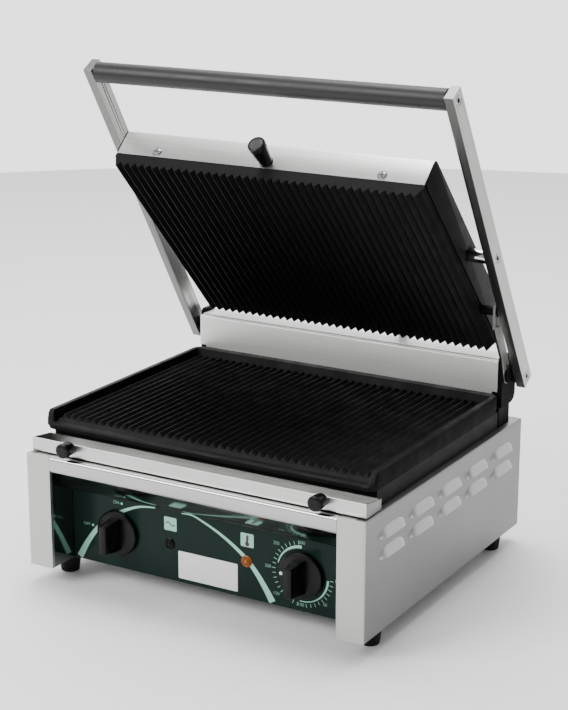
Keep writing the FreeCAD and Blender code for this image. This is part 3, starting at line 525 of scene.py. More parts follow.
def prism(bm: bmesh.types.BMesh, outline: Sequence[Point], axis: Axis, low: float, high: float,
          bevels: Sequence[float] = (), rim: float = 0.0) -> None:
    """Draw an outline out along an axis.

    Args:
        bm: Mesh to add to.
        outline: Corners in the plane across the axis.
        axis: Direction to draw along.
        low: Start along the axis.
        high: End along the axis.
        bevels: Radius at each corner's long edge, 0 for sharp; empty for all sharp.
        rim: Radius round both end faces.
    """
    piece = bmesh.new()
    face = piece.faces.new([piece.verts.new((u, v, low)) for u, v in outline])
    corners = list(face.verts)
    drawn = bmesh.ops.extrude_face_region(piece, geom=[face])
    top = [item for item in drawn["geom"] if isinstance(item, bmesh.types.BMVert)]
    bmesh.ops.translate(piece, verts=top, vec=(0, 0, high - low))
    long_edges = []
    for corner in corners:
        long_edges.append(next(edge for edge in corner.link_edges
                               if abs(edge.verts[0].co.z - edge.verts[1].co.z) > 1e-6))
    for radius in sorted(set(bevels) - {0.0}, reverse=True):
        chosen = [edge for edge, size in zip(long_edges, bevels) if size == radius]
        bmesh.ops.bevel(piece, geom=chosen, offset=radius, offset_type="OFFSET", segments=4,
                        profile=0.5, affect="EDGES", material=-1)
    if rim:
        ends = [edge for edge in piece.edges
                if abs(edge.verts[0].co.z - edge.verts[1].co.z) < 1e-6
                and edge.is_manifold and edge.calc_face_angle(0) > 0.6]
        bmesh.ops.bevel(piece, geom=ends, offset=rim, offset_type="OFFSET", segments=2,
                        profile=0.5, affect="EDGES", material=-1)
    bmesh.ops.transform(piece, matrix=spin_to(axis), verts=piece.verts)
    join(bm, piece)


def join(bm: bmesh.types.BMesh, piece: bmesh.types.BMesh) -> None:
    """Move one mesh's shells into another, with outward faces.

    Args:
        bm: Mesh to add to.
        piece: Mesh to move, which is freed.
    """
    bmesh.ops.recalc_face_normals(piece, faces=piece.faces)
    holder = bpy.data.meshes.new("holder")
    piece.to_mesh(holder)
    piece.free()
    bm.from_mesh(holder)
    bpy.data.meshes.remove(holder)


def grid_sheet(columns: int, rows: int,
               place: Callable[[int, int], Sequence[float]]) -> bmesh.types.BMesh:
    """Make a sheet of quads and put each corner in its place.

    Args:
        columns: Corners across.
        rows: Corners along.
        place: Position of the corner in a column and a row.

    Returns:
        The open sheet.
    """
    sheet = bmesh.new()
    bmesh.ops.create_grid(sheet, x_segments=columns - 1, y_segments=rows - 1, size=1.0)
    for vert in sheet.verts:
        column = round((vert.co.x + 1) / 2 * (columns - 1))
        row = round((vert.co.y + 1) / 2 * (rows - 1))
        vert.co = place(column, row)
    return sheet


def close_holes(piece: bmesh.types.BMesh) -> None:
    """Fill every open loop of a mesh with one face.

    Args:
        piece: Mesh to close.
    """
    rims = [edge for edge in piece.edges if edge.is_boundary]
    if rims:
        bmesh.ops.holes_fill(piece, edges=rims, sides=0)


def turned(profile: Sequence[Point], steps: int) -> bmesh.types.BMesh:
    """Turn a profile of (radius, along) points round Z; its ends are closed on the axis.

    Args:
        profile: Points from one end to the other.
        steps: Segments of the full turn.

    Returns:
        The closed mesh.
    """
    piece = bmesh.new()
    verts = [piece.verts.new((radius, 0, along)) for radius, along in profile]
    edges = [piece.edges.new(pair) for pair in zip(verts, verts[1:])]
    bmesh.ops.spin(piece, geom=verts + edges, cent=(0, 0, 0), axis=(0, 0, 1), dvec=(0, 0, 0),
                   angle=2 * math.pi, steps=steps, use_merge=True)
    bmesh.ops.remove_doubles(piece, verts=piece.verts, dist=1e-6)
    close_holes(piece)
    return piece


def lathe(bm: bmesh.types.BMesh, profile: Sequence[Point], matrix: Matrix, steps: int = 48) -> None:
    """Turn a profile and add it to a mesh.

    Args:
        bm: Mesh to add to.
        profile: Points (radius, along) from one end to the other.
        matrix: Where the turned shape goes.
        steps: Segments of the full turn.
    """
    piece = turned(profile, steps)
    bmesh.ops.transform(piece, matrix=matrix, verts=piece.verts)
    join(bm, piece)


def facing(axis: Axis, spot: Sequence[float], reverse: bool = False) -> Matrix:
    """Matrix that takes +Z to an axis and the origin to a spot.

    Args:
        axis: Axis that +Z turns to.
        spot: Place of the origin.
        reverse: Whether +Z turns to the axis's other end.

    Returns:
        The placement.
    """
    turn = {Axis.X: Matrix.Rotation(math.pi / 2, 4, "Y"),
            Axis.Y: Matrix.Rotation(-math.pi / 2, 4, "X"), Axis.Z: Matrix.Identity(4)}[axis]
    flip = Matrix.Rotation(math.pi, 4, "X") if reverse else Matrix.Identity(4)
    return Matrix.Translation(Vector(spot)) @ turn @ flip


def finish_piece(bm: bmesh.types.BMesh, name: str, body: Body, material: bpy.types.Material,
                 stands_for: Iterable[str] = (), sharp_deg: float = 34.0,
                 matrix: Optional[Matrix] = None) -> bpy.types.Object:
    """Make an object of a mesh, dress it and hang it on a body.

    Args:
        bm: Finished mesh, which is freed.
        name: Piece name.
        body: Body that it rides on.
        material: Finish.
        stands_for: CAD nodes that the piece replaces.
        sharp_deg: Edges that turn more than this stay sharp.
        matrix: Last placement, applied to the mesh.

    Returns:
        The object, at the origin.
    """
    if matrix is not None:
        bmesh.ops.transform(bm, matrix=matrix, verts=bm.verts)
    bmesh.ops.scale(bm, vec=(MM, MM, MM), verts=bm.verts)
    bmesh.ops.recalc_face_normals(bm, faces=bm.faces)
    mesh = bpy.data.meshes.new(name)
    bm.to_mesh(mesh)
    bm.free()
    for polygon in mesh.polygons:
        polygon.use_smooth = True
    mesh.set_sharp_from_angle(angle=math.radians(sharp_deg))
    mesh.materials.append(material)
    piece = bpy.data.objects.new(name, mesh)
    bpy.context.scene.collection.objects.link(piece)
    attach(piece, body.value)
    nodes = list(stands_for)
    if nodes:
        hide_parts(*nodes)
    LOG.info("%s: %d faces on %s", name, len(mesh.polygons), body.value)
    return piece


def dress_node(node: str, material: bpy.types.Material, edge_mm: float = 0.0) -> None:
    """Give a carried-over CAD node its finish and, if asked, softened edges.

    Args:
        node: CAD node.
        material: Finish.
        edge_mm: Width of the softened edge, 0 for none.
    """
    piece = frame["nodes"][node]
    if not piece.material_slots:
        piece.data.materials.append(material)
    for holder in piece.material_slots:
        holder.material = material
    if edge_mm:
        weld = piece.modifiers.new("weld", "WELD")
        weld.merge_threshold = 1e-6
        soft = piece.modifiers.new("edge", "BEVEL")
        soft.width = edge_mm * MM
        soft.segments = 2
        soft.limit_method = "ANGLE"
        soft.angle_limit = math.radians(40)
        soft.harden_normals = True
    LOG.info("%s keeps its CAD shape", node)


def joint_spot(name: str) -> Vector:
    """Position of a joint in the record, in metres."""
    joints = frame["record"]["behaviour"]["joints"]
    return Vector(next(joint["pos_m"] for joint in joints if joint["name"] == name))


def rect_outline(u_low: float, v_low: float, u_high: float, v_high: float) -> list[Point]:
    """Corners of a rectangle."""
    return [(u_low, v_low), (u_high, v_low), (u_high, v_high), (u_low, v_high)]


def mirrored(outline: Sequence[Point], sign: int) -> list[Point]:
    """Outline with its first coordinate times a sign."""
    return [(sign * u, v) for u, v in outline]


# ---------------------------------------------------------------- places


def box_mm(node: str) -> tuple[Vector, Vector]:
    """Lowest and highest corner of a CAD node in millimetres."""
    low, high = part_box(node)
    return low / MM, high / MM


HINGE = joint_spot("lid_hinge") / MM
PIVOT = joint_spot("plate_tilt") / MM
ARM_RISE = math.radians(58.8)
HEAD_TILT = math.radians(46.9)
ARM_MATRIX = Matrix.Translation((0, HINGE.y, HINGE.z)) @ Matrix.Rotation(-ARM_RISE, 4, "X")
HEAD_MATRIX = Matrix.Translation((0, PIVOT.y, PIVOT.z)) @ Matrix.Rotation(-HEAD_TILT, 4, "X")
FLOOR = box_mm("left_side_panel")[0].z
ROOF = box_mm("left_side_panel")[1].z
FRONT = box_mm("left_side_panel")[0].y
REAR = box_mm("left_side_panel")[1].y
LABEL_FACE = box_mm("control_label")[0].y
PANEL = box_mm("control_label")[1].y
SIGNS = (-1, 1)


def fillet(corners: Sequence[Vector], radius: float, pitch: float) -> list[Vector]:
    """Smooth path through a polyline, with even spacing.

    Args:
        corners: Points of the polyline.
        radius: Length taken off each side of a corner.
        pitch: Distance between the points returned.

    Returns:
        Points along the rounded path.
    """
    rough = [corners[0]]
    for before, corner, after in zip(corners, corners[1:], corners[2:]):
        cut_in = min(radius, (corner - before).length * 0.48)
        cut_out = min(radius, (after - corner).length * 0.48)
        start = corner + (before - corner).normalized() * cut_in
        end = corner + (after - corner).normalized() * cut_out
        for step in range(13):
            share = step / 12
            rough.append(start * (1 - share) ** 2 + corner * 2 * share * (1 - share)
                         + end * share ** 2)
    rough.append(corners[-1])
    lengths = [0.0]
    for first, second in zip(rough, rough[1:]):
        lengths.append(lengths[-1] + (second - first).length)
    count = max(2, round(lengths[-1] / pitch))
    even = []
    place = 0
    for step in range(count + 1):
        goal = lengths[-1] * step / count
        while place < len(rough) - 2 and lengths[place + 1] < goal:
            place += 1
        span = lengths[place + 1] - lengths[place]
        share = (goal - lengths[place]) / span if span else 0.0
        even.append(rough[place].lerp(rough[place + 1], min(1.0, max(0.0, share))))
    return even


def sweep(bm: bmesh.types.BMesh, path: Sequence[Vector], radius_at: Callable[[int], float],
          sides: int = 20) -> None:
    """Sweep a circle along a path.

    Args:
        bm: Mesh to add to.
        path: Centre line.
        radius_at: Radius by point number.
        sides: Points round the circle.
    """
    tangent = (path[1] - path[0]).normalized()
    side = tangent.orthogonal().normalized()
    frames = []
    for place, centre in enumerate(path):
        ahead = path[min(place + 1, len(path) - 1)] - path[max(place - 1, 0)]
        side = (tangent.rotation_difference(ahead.normalized()) @ side).normalized()
        tangent = ahead.normalized()
        frames.append((centre, side * radius_at(place), tangent.cross(side) * radius_at(place)))

    def corner(step: int, place: int) -> Vector:
        """Point of the tube's skin."""
        angle = 2 * math.pi * step / sides
        centre, out, across = frames[place]
        return centre + out * math.cos(angle) + across * math.sin(angle)

    piece = grid_sheet(sides + 1, len(path), corner)
    bmesh.ops.remove_doubles(piece, verts=piece.verts, dist=1e-4)
    close_holes(piece)
    join(bm, piece)


def add_text(bm: bmesh.types.BMesh, words: str, size: float, spot: Point, face: float,
             depth: float = 0.08) -> None:
    """Print flat text on a plane that faces the operator.

    Args:
        bm: Mesh in millimetres to add to.
        words: Generic words or numbers.
        size: Letter size.
        spot: Middle of the text as (x, z).
        face: Y of the plane.
        depth: Thickness of the ink.
    """
    curve = bpy.data.curves.new("ink", "FONT")
    curve.body = words
    curve.size = size
    curve.align_x = "CENTER"
    curve.align_y = "CENTER"
    curve.extrude = depth / 2
    curve.offset = -0.022 * size
    carrier = bpy.data.objects.new("ink", curve)
    bpy.context.scene.collection.objects.link(carrier)
    bpy.context.view_layer.update()
    graph = bpy.context.evaluated_depsgraph_get()
    flat = bpy.data.meshes.new_from_object(carrier.evaluated_get(graph))
    upright = Matrix.Translation((spot[0], face - depth / 2,
                                  spot[1])) @ Matrix.Rotation(math.pi / 2, 4, "X")
    flat.transform(upright)
    bm.from_mesh(flat)
    bpy.data.meshes.remove(flat)
    bpy.data.objects.remove(carrier)
    bpy.data.curves.remove(curve)


def arc_band(centre: Point, radius: float, start_deg: float, end_deg: float, width_from: float,
             width_to: float, steps: int = 24) -> list[Point]:
    """Outline of a band round a centre whose width changes along it.

    Args:
        centre: Middle as (x, z).
        radius: Radius of the middle of the band.
        start_deg: Start, clockwise from the top.
        end_deg: End, clockwise from the top.
        width_from: Width at the start.
        width_to: Width at the end.
        steps: Parts of the band.

    Returns:
        Closed outline.
    """
    outside, inside = [], []
    for step in range(steps + 1):
        share = step / steps
        angle = math.radians(start_deg + (end_deg - start_deg) * share)
        half = (width_from + (width_to - width_from) * share) / 2
        for side, reach in ((outside, radius + half), (inside, radius - half)):
            side.append((centre[0] + reach * math.sin(angle), centre[1] + reach * math.cos(angle)))
    return outside + inside[::-1]


def ribbon(points: Sequence[tuple[float, float, float]]) -> list[Point]:
    """Outline of a tapering stripe through points of (x, z, width).

    Args:
        points: Places along the stripe and its width there.

    Returns:
        Closed outline.
    """
    left, right = [], []
    for place, (x, z, width) in enumerate(points):
        before = points[max(place - 1, 0)]
        after = points[min(place + 1, len(points) - 1)]
        along = Vector((after[0] - before[0], after[1] - before[1])).normalized()
        left.append((x - along.y * width / 2, z + along.x * width / 2))
        right.append((x + along.y * width / 2, z - along.x * width / 2))
    return left + right[::-1]


def smooth_line(points: Sequence[tuple[float, ...]], steps: int = 8) -> list[tuple[float, ...]]:
    """Catmull-Rom curve through points of any number of values.

    Args:
        points: Points that the curve goes through.
        steps: Parts between two points.

    Returns:
        Points along the curve.
    """
    line = []
    for place in range(len(points) - 1):
        before = points[max(place - 1, 0)]
        first, second = points[place], points[place + 1]
        after = points[min(place + 2, len(points) - 1)]
        for step in range(steps):
            t = step / steps
            line.append(tuple(
                0.5 * (2 * b + (c - a) * t + (2 * a - 5 * b + 4 * c - d) * t ** 2
                       + (3 * b - a - 3 * c + d) * t ** 3)
                for a, b, c, d in zip(before, first, second, after)))
    line.append(tuple(points[-1]))
    return line


# ---------------------------------------------------------------- sub-assemblies


class SubAssembly:
    """A part of the grill that builds its own pieces."""

    def __init__(self, finishes: Finishes) -> None:
        """Keep the finishes."""
        self.finishes = finishes

    def build(self) -> None:
        """Make every piece."""
        raise NotImplementedError


@dataclass
class CasingSizes:
    """Sizes of the sheet-metal casing."""

    half_width: float = 202.0
    post_inner: float = 172.0
    skin: float = 1.5
    bend: float = 1.5
    fold: float = 12.0
    seam: float = 3.0
    rail_height: float = 15.7
    brow_drop: float = 46.7
    louvre_length: float = 52.0
    louvre_rise: float = 11.0
    louvre_depth: float = 5.0
    louvre_skin: float = 1.1
    louvre_pitch: float = 66.1
    louvre_start: float = -129.0
    louvre_lows: tuple[float, ...] = (97.5, 118.3)
    louvre_count: int = 5
    slot_height: float = 5.5
    slot_inset: float = 3.0
    hood_sink: float = 0.4
    hood_lip: float = 0.5
    hood_tip: float = 0.97
    hood_round: float = 3.2
    hood_end: float = 9.0
    hood_slope: float = 0.9
    recess_lip: float = 4.0


class Casing(SubAssembly):
    """Side skins with louvres, folded front, and the plain panels carried over."""

    def __init__(self, finishes: Finishes) -> None:
        """Keep the finishes and the sizes."""
        super().__init__(finishes)
        self.size = CasingSizes()

    def build(self) -> None:
        """Make every casing piece."""
        for side, sign in (("left", -1), ("right", 1)):
            self.side_skin(side, sign)
            self.post(side, sign)
        self.front()
        # Rear, bottom and top panels take the darker casing colour: painted shade.
        for node in ("rear_panel", "bottom_plate", "top_deck"):
            dress_node(node, self.finishes.casing, 0.3)
        for node in ("casing_screws", "foot_screws"):
            dress_node(node, self.finishes.steel, 0.5)
        self.feet()

    def post(self, side: str, sign: int) -> None:
        """Front corner post: the side sheet folded twice, back into the recess.

        Args:
            side: "left" or "right".
            sign: -1 for the left side.
        """
        size = self.size
        inner = size.post_inner + size.skin
        seam = FRONT + size.seam
        lip = FRONT + size.recess_lip
        outline = [(size.half_width, seam), (size.half_width, FRONT), (size.post_inner, FRONT),
                   (size.post_inner, lip), (inner, lip), (inner, FRONT + size.skin),
                   (size.half_width - size.skin, FRONT + size.skin),
                   (size.half_width - size.skin, seam)]
        bends = [0, size.bend, 0.3, 0, 0, 0, 0.5, 0]
        bm = bmesh.new()
        prism(bm, mirrored(outline, sign), Axis.Z, FLOOR, ROOF - size.skin, bends)
        fold = size.half_width - size.fold
        top = [(size.post_inner, FRONT), (size.half_width, FRONT), (size.half_width, seam),
               (fold, seam), (fold, PANEL), (size.post_inner, PANEL)]
        prism(bm, mirrored(top, sign), Axis.Z, ROOF - size.skin, ROOF, [0.3, size.bend, 0, 0, 0, 0])
        finish_piece(bm, f"{side}_front_post", Body.BASE, self.finishes.front_post,
                     [f"{side}_side_panel"])
        wall = bmesh.new()
        back = rect_outline(size.post_inner, lip, inner, PANEL)
        prism(wall, mirrored(back, sign), Axis.Z, FLOOR + 0.2, ROOF - size.skin)
        finish_piece(wall, f"{side}_return_wall", Body.BASE, self.finishes.return_wall)

    def side_skin(self, side: str, sign: int) -> None:
        """Side sheet with its top and bottom folds and two rows of hooded slots.

        Args:
            side: "left" or "right".
            sign: -1 for the left side.
        """
        size = self.size
        bm, hoods = bmesh.new(), bmesh.new()
        near, far = FRONT + size.seam, REAR
        y_lines = {near, far}
        holes = []
        for column in range(size.louvre_count):
            middle = size.louvre_start + column * size.louvre_pitch
            half = size.louvre_length / 2 - size.slot_inset
            span = (middle - half, middle + half)
            y_lines.update(span)
            holes += [(span, (low, low + size.slot_height)) for low in size.louvre_lows]
            for low in size.louvre_lows:
                self.hood(hoods, sign, middle, low)
        z_lines = {FLOOR, ROOF - 4.0}
        z_lines.update(edge for low in size.louvre_lows
                       for edge in (low, low + size.slot_height))
        self.slotted_sheet(bm, sign, sorted(y_lines), sorted(z_lines), holes)
        outer, inner = size.half_width, size.half_width - size.skin
        fold = [(outer, ROOF - 4), (outer, ROOF), (outer - size.fold, ROOF),
                (outer - size.fold, ROOF - size.skin), (inner, ROOF - size.skin), (inner, ROOF - 4)]
        prism(bm, mirrored(fold, sign), Axis.Y, near, far, [0, size.bend, 0, 0, 0.9, 0])
        hem = [(inner, FLOOR), (inner, FLOOR + size.skin), (outer - size.fold, FLOOR + size.skin),
               (outer - size.fold, FLOOR)]
        prism(bm, mirrored(hem, sign), Axis.Y, FRONT + 14, far)
        # The side sheet takes the darker casing colour: painted shade.
        finish_piece(bm, f"{side}_side_skin", Body.BASE, self.finishes.casing)
        # The hoods take the paler louvre colour: painted light.
        finish_piece(hoods, f"{side}_louvre_hoods", Body.BASE, self.finishes.hood)

    def slotted_sheet(self, bm: bmesh.types.BMesh, sign: int, y_lines: Sequence[float],
                      z_lines: Sequence[float], holes: Sequence[tuple[Point, Point]]) -> None:
        """Flat sheet at the casing's side with rectangular slots punched through.

        Args:
            bm: Mesh to add to.
            sign: -1 for the left side.
            y_lines: Grid lines along the sheet.
            z_lines: Grid lines up the sheet.
            holes: Spans (y, z) of the slots.
        """
        outer = sign * self.size.half_width
        sheet = grid_sheet(len(y_lines), len(z_lines),
                           lambda column, row: (outer, y_lines[column], z_lines[row]))
        punched = []
        for face in sheet.faces:
            spot = face.calc_center_median()
            if any(y[0] < spot.y < y[1] and z[0] < spot.z < z[1] for y, z in holes):
                punched.append(face)
        bmesh.ops.delete(sheet, geom=punched, context="FACES")
        drawn = bmesh.ops.extrude_face_region(sheet, geom=list(sheet.faces))
        verts = [item for item in drawn["geom"] if isinstance(item, bmesh.types.BMVert)]
        bmesh.ops.translate(sheet, verts=verts, vec=(-sign * self.size.skin, 0, 0))
        join(bm, sheet)

    def hood(self, bm: bmesh.types.BMesh, sign: int, middle: float, low: float) -> None:
        """Pressed louvre: a half-round hood that opens downwards.

        Args:
            bm: Mesh to add to.
            sign: -1 for the left side.
            middle: Y of its middle.
            low: Height of its open edge.
        """
        size = self.size
        across, up = 23, 9
        shells = []
        for inset in (0.0, size.louvre_skin):
            def corner(column: int, row: int) -> Sequence[float]:
                """Point of the outer or the inner skin."""
                rise = row / (up - 1)
                reach = (size.louvre_length / 2 - inset) * math.sqrt(
                    1 - (rise * size.hood_tip) ** size.hood_round)
                along = math.sin((column / (across - 1) - 0.5) * math.pi)
                bulge = ((size.louvre_depth - inset) * (1 - abs(along) ** size.hood_end)
                         * (1 - rise) ** size.hood_slope)
                drop = size.hood_lip if inset else 0.0
                return (sign * (size.half_width - size.hood_sink + bulge), middle + along * reach,
                        low + rise * (size.louvre_rise - inset) - drop)

            shells.append(grid_sheet(across, up, corner))
        piece = shells[0]
        join(piece, shells[1])
        lips = [edge for edge in piece.edges if edge.is_boundary
                and all(vert.co.z < low + 0.01 for vert in edge.verts)]
        bmesh.ops.bridge_loops(piece, edges=lips)
        bmesh.ops.remove_doubles(piece, verts=piece.verts, dist=0.01)
        join(bm, piece)

    def front(self) -> None:
        """Folded front: top strip, rail, brow that slopes back and the upright panel."""
        size = self.size
        rail_low, brow_low = ROOF - size.rail_height, ROOF - size.brow_drop
        skin = size.skin
        outline = [(PANEL, ROOF), (FRONT, ROOF), (FRONT, rail_low), (PANEL, brow_low),
                   (PANEL, FLOOR), (PANEL + size.fold, FLOOR), (PANEL + size.fold, FLOOR + skin),
                   (PANEL + skin, FLOOR + skin), (PANEL + skin, brow_low + skin / 2),
                   (FRONT + skin, rail_low + skin / 2), (FRONT + skin, ROOF - skin),
                   (PANEL, ROOF - skin)]
        bends = [0, 3.0, 2.4, 1.6, 1.6, 0, 0, 0, 0, 0.9, 1.2, 0]
        edge = size.post_inner - 0.15
        bm = bmesh.new()
        prism(bm, outline, Axis.X, -edge, edge, bends)
        finish_piece(bm, "folded_front", Body.BASE, self.finishes.bright,
                     ["front_panel"])

    def feet(self) -> None:
        """Tapered rubber feet with a rounded rim and a recess for the screw."""
        bm = bmesh.new()
        low, high = box_mm("feet")
        reach, front, rear = (high.x - low.x) / 2 - 13, low.y + 13, high.y - 13
        profile = [(0, 8), (5, 8), (5, 0.5), (5.6, 0), (9.2, 0), (10, 0.8), (12.4, 17.5), (13, 19),
                   (13, 20), (0, 20)]
        for sign in SIGNS:
            for depth in (front, rear):
                lathe(bm, profile, Matrix.Translation((sign * reach, depth, 0)), 40)
        finish_piece(bm, "rubber_feet", Body.BASE, self.finishes.rubber, ["feet"])


@dataclass
class LabelSizes:
    """Places of the label's printing, as (x, z)."""

    switch: Point = (-112.5, 60.5)
    dial: Point = (112.5, 60.5)
    wave_icon: Point = (-46.2, 83.0)
    heat_icon: Point = (47.6, 84.0)
    icon_width: float = 15.4
    icon_height: float = 14.8
    swoosh: tuple[tuple[float, float, float], ...] = (
        (-164.5, 22.6, 7.5), (-152.0, 44.0, 6.0), (-137.0, 63.0, 4.8), (-120.0, 77.5, 4.0),
        (-103.7, 87.0, 3.4), (-85.0, 94.5, 2.4), (-65.0, 97.4, 1.4))
    tail: tuple[tuple[float, float, float], ...] = (
        (-32.0, 97.6, 0.9), (-20.0, 98.0, 1.6), (-9.3, 94.9, 2.0), (15.0, 84.2, 3.0),
        (39.0, 69.4, 4.2), (53.3, 56.6, 5.2), (66.5, 40.0, 6.4), (77.5, 22.6, 7.8))
    scale: tuple[tuple[str, float, float], ...] = (
        ("Min", 41.0, 0.4), ("50", 26.1, -27.3), ("100", -1.8, -33.2), ("150", -30.6, -27.2),
        ("200", -40.3, 0.8), ("250", -30.5, 27.6), ("300", -0.9, 33.7))
    scale_start: float = 91.0
    scale_step: float = 9.0
    scale_ticks: int = 30
    words: float = 5.0
    blank_tick: int = 10
    tick_reach: float = 31.4
    tick_length: float = 4.0
    marks: tuple[tuple[str, float, float, float], ...] = (
        ("ON", 4.7, 33.2, 7.1), ("OFF", -33.7, 1.6, 7.8))
    crescent: float = 29.2
    disc: float = 5.8
    bar_base: float = 5.2
    dot_reach: float = 21.6
    dot_turn_deg: float = 267.0
    bar_foot: float = 7.0
    bar_tip: float = 4.1
    bar_length: float = 18.0


class ControlPanel(SubAssembly):
    """Printed label, knobs, lamps and the blank badge."""

    def __init__(self, finishes: Finishes) -> None:
        """Keep the finishes and the sizes."""
        super().__init__(finishes)
        self.size = LabelSizes()

    def build(self) -> None:
        """Make every piece of the control panel."""
        dress_node("control_label", self.finishes.label)
        self.badge()
        self.mint_print()
        self.white_print()
        self.icons()
        self.lamps()
        self.knob("switch_knob", Body.SWITCH, self.size.switch)
        self.knob("thermostat_knob", Body.DIAL, self.size.dial)
        for node in ("switch_body", "thermostat_body"):
            dress_node(node, self.finishes.knob, 0.6)
        dress_node("thermostat_probe", self.finishes.chrome)
        dress_node("terminal_block", self.finishes.porcelain, 0.8)
        dress_node("cable_inlet", self.finishes.knob, 0.5)

    def badge(self) -> None:
        """Blank plate with rounded corners."""
        low, high = box_mm("badge_plate")
        bm = bmesh.new()
        prism(bm, rect_outline(low.x, low.z, high.x, high.z), Axis.Y, low.y, high.y, [1.2] * 4, 0.2)
        finish_piece(bm, "blank_badge", Body.BASE, self.finishes.badge, ["badge_plate"])

    def ink(self, bm: bmesh.types.BMesh, outline: Sequence[Point], lift: float = 0.0) -> None:
        """Lay one patch of ink on the label."""
        prism(bm, outline, Axis.Y, LABEL_FACE - 0.08 - lift, LABEL_FACE + 0.02 - lift)

    def mint_print(self) -> None:
        """Sweeping stripe, icon squares and the dial's crescents."""
        bm = bmesh.new()
        self.ink(bm, ribbon(smooth_line(self.size.swoosh)))
        self.ink(bm, ribbon(smooth_line(self.size.tail)))
        for band in ((284, 358, 0.9, 3.4), (92, 186, 2.4, 0.8)):
            self.ink(bm, arc_band(self.size.dial, self.size.crescent, *band))
        for spot in (self.size.wave_icon, self.size.heat_icon):
            half_wide, half_high = self.size.icon_width / 2, self.size.icon_height / 2
            outline = rect_outline(spot[0] - half_wide, spot[1] - half_high, spot[0] + half_wide,
                                   spot[1] + half_high)
            prism(bm, outline, Axis.Y, LABEL_FACE - 0.08, LABEL_FACE + 0.02, [1.2] * 4)
        finish_piece(bm, "mint_printing", Body.BASE, self.finishes.mint)

    def white_print(self) -> None:
        """Dial numbers, tick marks and the switch's two dots."""
        bm = bmesh.new()
        for words, across, up in self.size.scale:
            spot = (self.size.dial[0] + across, self.size.dial[1] + up)
            add_text(bm, words, self.size.words, spot, LABEL_FACE)
        for step in range(self.size.scale_ticks):
            if step != self.size.blank_tick:
                self.tick(bm, self.size.scale_start + step * self.size.scale_step)
        for words, across, up, gap in self.size.marks:
            dot = (self.size.switch[0] + across, self.size.switch[1] + up)
            self.ink(bm, arc_band(dot, 0.7, 0, 360, 1.4, 1.4, 16))
            add_text(bm, words, self.size.words, (dot[0] - gap, dot[1]), LABEL_FACE)
        finish_piece(bm, "white_printing", Body.BASE, self.finishes.mint)

    def tick(self, bm: bmesh.types.BMesh, turn_deg: float) -> None:
        """Short radial mark of the dial scale.

        Args:
            bm: Mesh to add to.
            turn_deg: Direction of the mark, clockwise from the top.
        """
        start, length = self.size.tick_reach, self.size.tick_length
        angle = math.radians(turn_deg)
        along = Vector((math.sin(angle), math.cos(angle)))
        across = Vector((along.y, -along.x)) * 0.25
        centre = Vector(self.size.dial)
        near, far = centre + along * start, centre + along * (start + length)
        self.ink(bm,
                 [tuple(near - across), tuple(far - across), tuple(far + across),
                  tuple(near + across)])

    def icons(self) -> None:
        """Mains wave and thermometer signs in dark red."""
        bm = bmesh.new()
        x, z = self.size.wave_icon
        wave = []
        for step in range(25):
            share = step / 24
            wave.append((x - 5.6 + 11.2 * share, z + 2.0 * math.sin(share * 2 * math.pi), 1.2))
        self.ink(bm, ribbon(wave), 0.08)
        x, z = self.size.heat_icon
        stem = rect_outline(x - 1.2, z - 3.0, x + 1.2, z + 5.4)
        prism(bm, stem, Axis.Y, LABEL_FACE - 0.16, LABEL_FACE - 0.06, [0.8, 0.8, 0.8, 0.8])
        self.ink(bm, arc_band((x, z - 4.2), 1.25, 0, 360, 2.5, 2.5, 20), 0.08)
        for notch in range(3):
            level = z + 0.4 + notch * 1.7
            self.ink(bm, rect_outline(x + 1.2, level, x + 2.6, level + 0.6), 0.08)
        finish_piece(bm, "icon_printing", Body.BASE, self.finishes.maroon)

    def lamps(self) -> None:
        """Flanged lamp lenses with a ringed dome."""
        for node, finish, slot in (("green_lamp", self.finishes.green, Slot.GREEN),
                                   ("amber_lamp", self.finishes.amber, Slot.AMBER)):
            low, high = box_mm(node)
            centre = (low + high) / 2
            front = low.y
            bm = bmesh.new()
            profile = [(0, 3.0), (1.6, 2.8), (2.7, 1.9), (3.0, 1.0), (3.5, 1.0), (4.0, 2.0),
                       (4.5, 2.0), (5.0, 0.9), (5.7, 1.2), (6.2, 0.9), (6.4, 0.3), (6.4, 0),
                       (5.0, 0), (5.0, -22.6), (0, -22.6)]
            lathe(bm, profile, facing(Axis.Y, (centre.x, front + 3.0, centre.z), True), 40)
            finish_piece(bm, node.replace("lamp", "lens"), Body.BASE, finish, [node])

    def knob(self, node: str, body: Body, spot: Point) -> None:
        """Round knob with a raised finger bar and, on the dial, a pointer dot.

        Args:
            node: CAD node that it replaces.
            body: Body that it rides on.
            spot: Middle as (x, z).
        """
        tip = box_mm(node)[0].y
        back = LABEL_FACE - 0.4
        place = facing(Axis.Y, (spot[0], back, spot[1]), True)
        bm = bmesh.new()
        base = back - self.size.bar_base
        profile = [(0, 6.0), (22.4, self.size.disc), (24.2, 5.0), (24.9, 3.8), (25.0, 3.0),
                   (25.0, 0.4), (24.6, 0), (0, 0)]
        lathe(bm, profile, place, 72)
        bar = bmesh.new()
        outline = rect_outline(-self.size.bar_foot, -self.size.bar_length, self.size.bar_foot,
                               self.size.bar_length)
        prism(bar, outline, Axis.Y, tip, base, [2.0] * 4, 1.0)
        for vert in bar.verts:
            slim = (base - vert.co.y) / (base - tip)
            vert.co.x *= 1 - slim * (1 - self.size.bar_tip / self.size.bar_foot)
            vert.co.z *= 1 - slim * 0.1
        bmesh.ops.translate(bar, verts=bar.verts, vec=(spot[0], 0, spot[1]))
        join(bm, bar)
        stem = [(0, -2.4), (3.0, -2.4), (3.0, 0.4), (0, 0.4)]
        lathe(bm, stem[::-1], place, 24)
        finish_piece(bm, f"{node}_moulding", body, self.finishes.knob, [node])
        if body is not Body.DIAL:
            return
        dot = bmesh.new()
        turn, reach = math.radians(self.size.dot_turn_deg), self.size.dot_reach
        centre = (spot[0] + reach * math.sin(turn), spot[1] + reach * math.cos(turn))
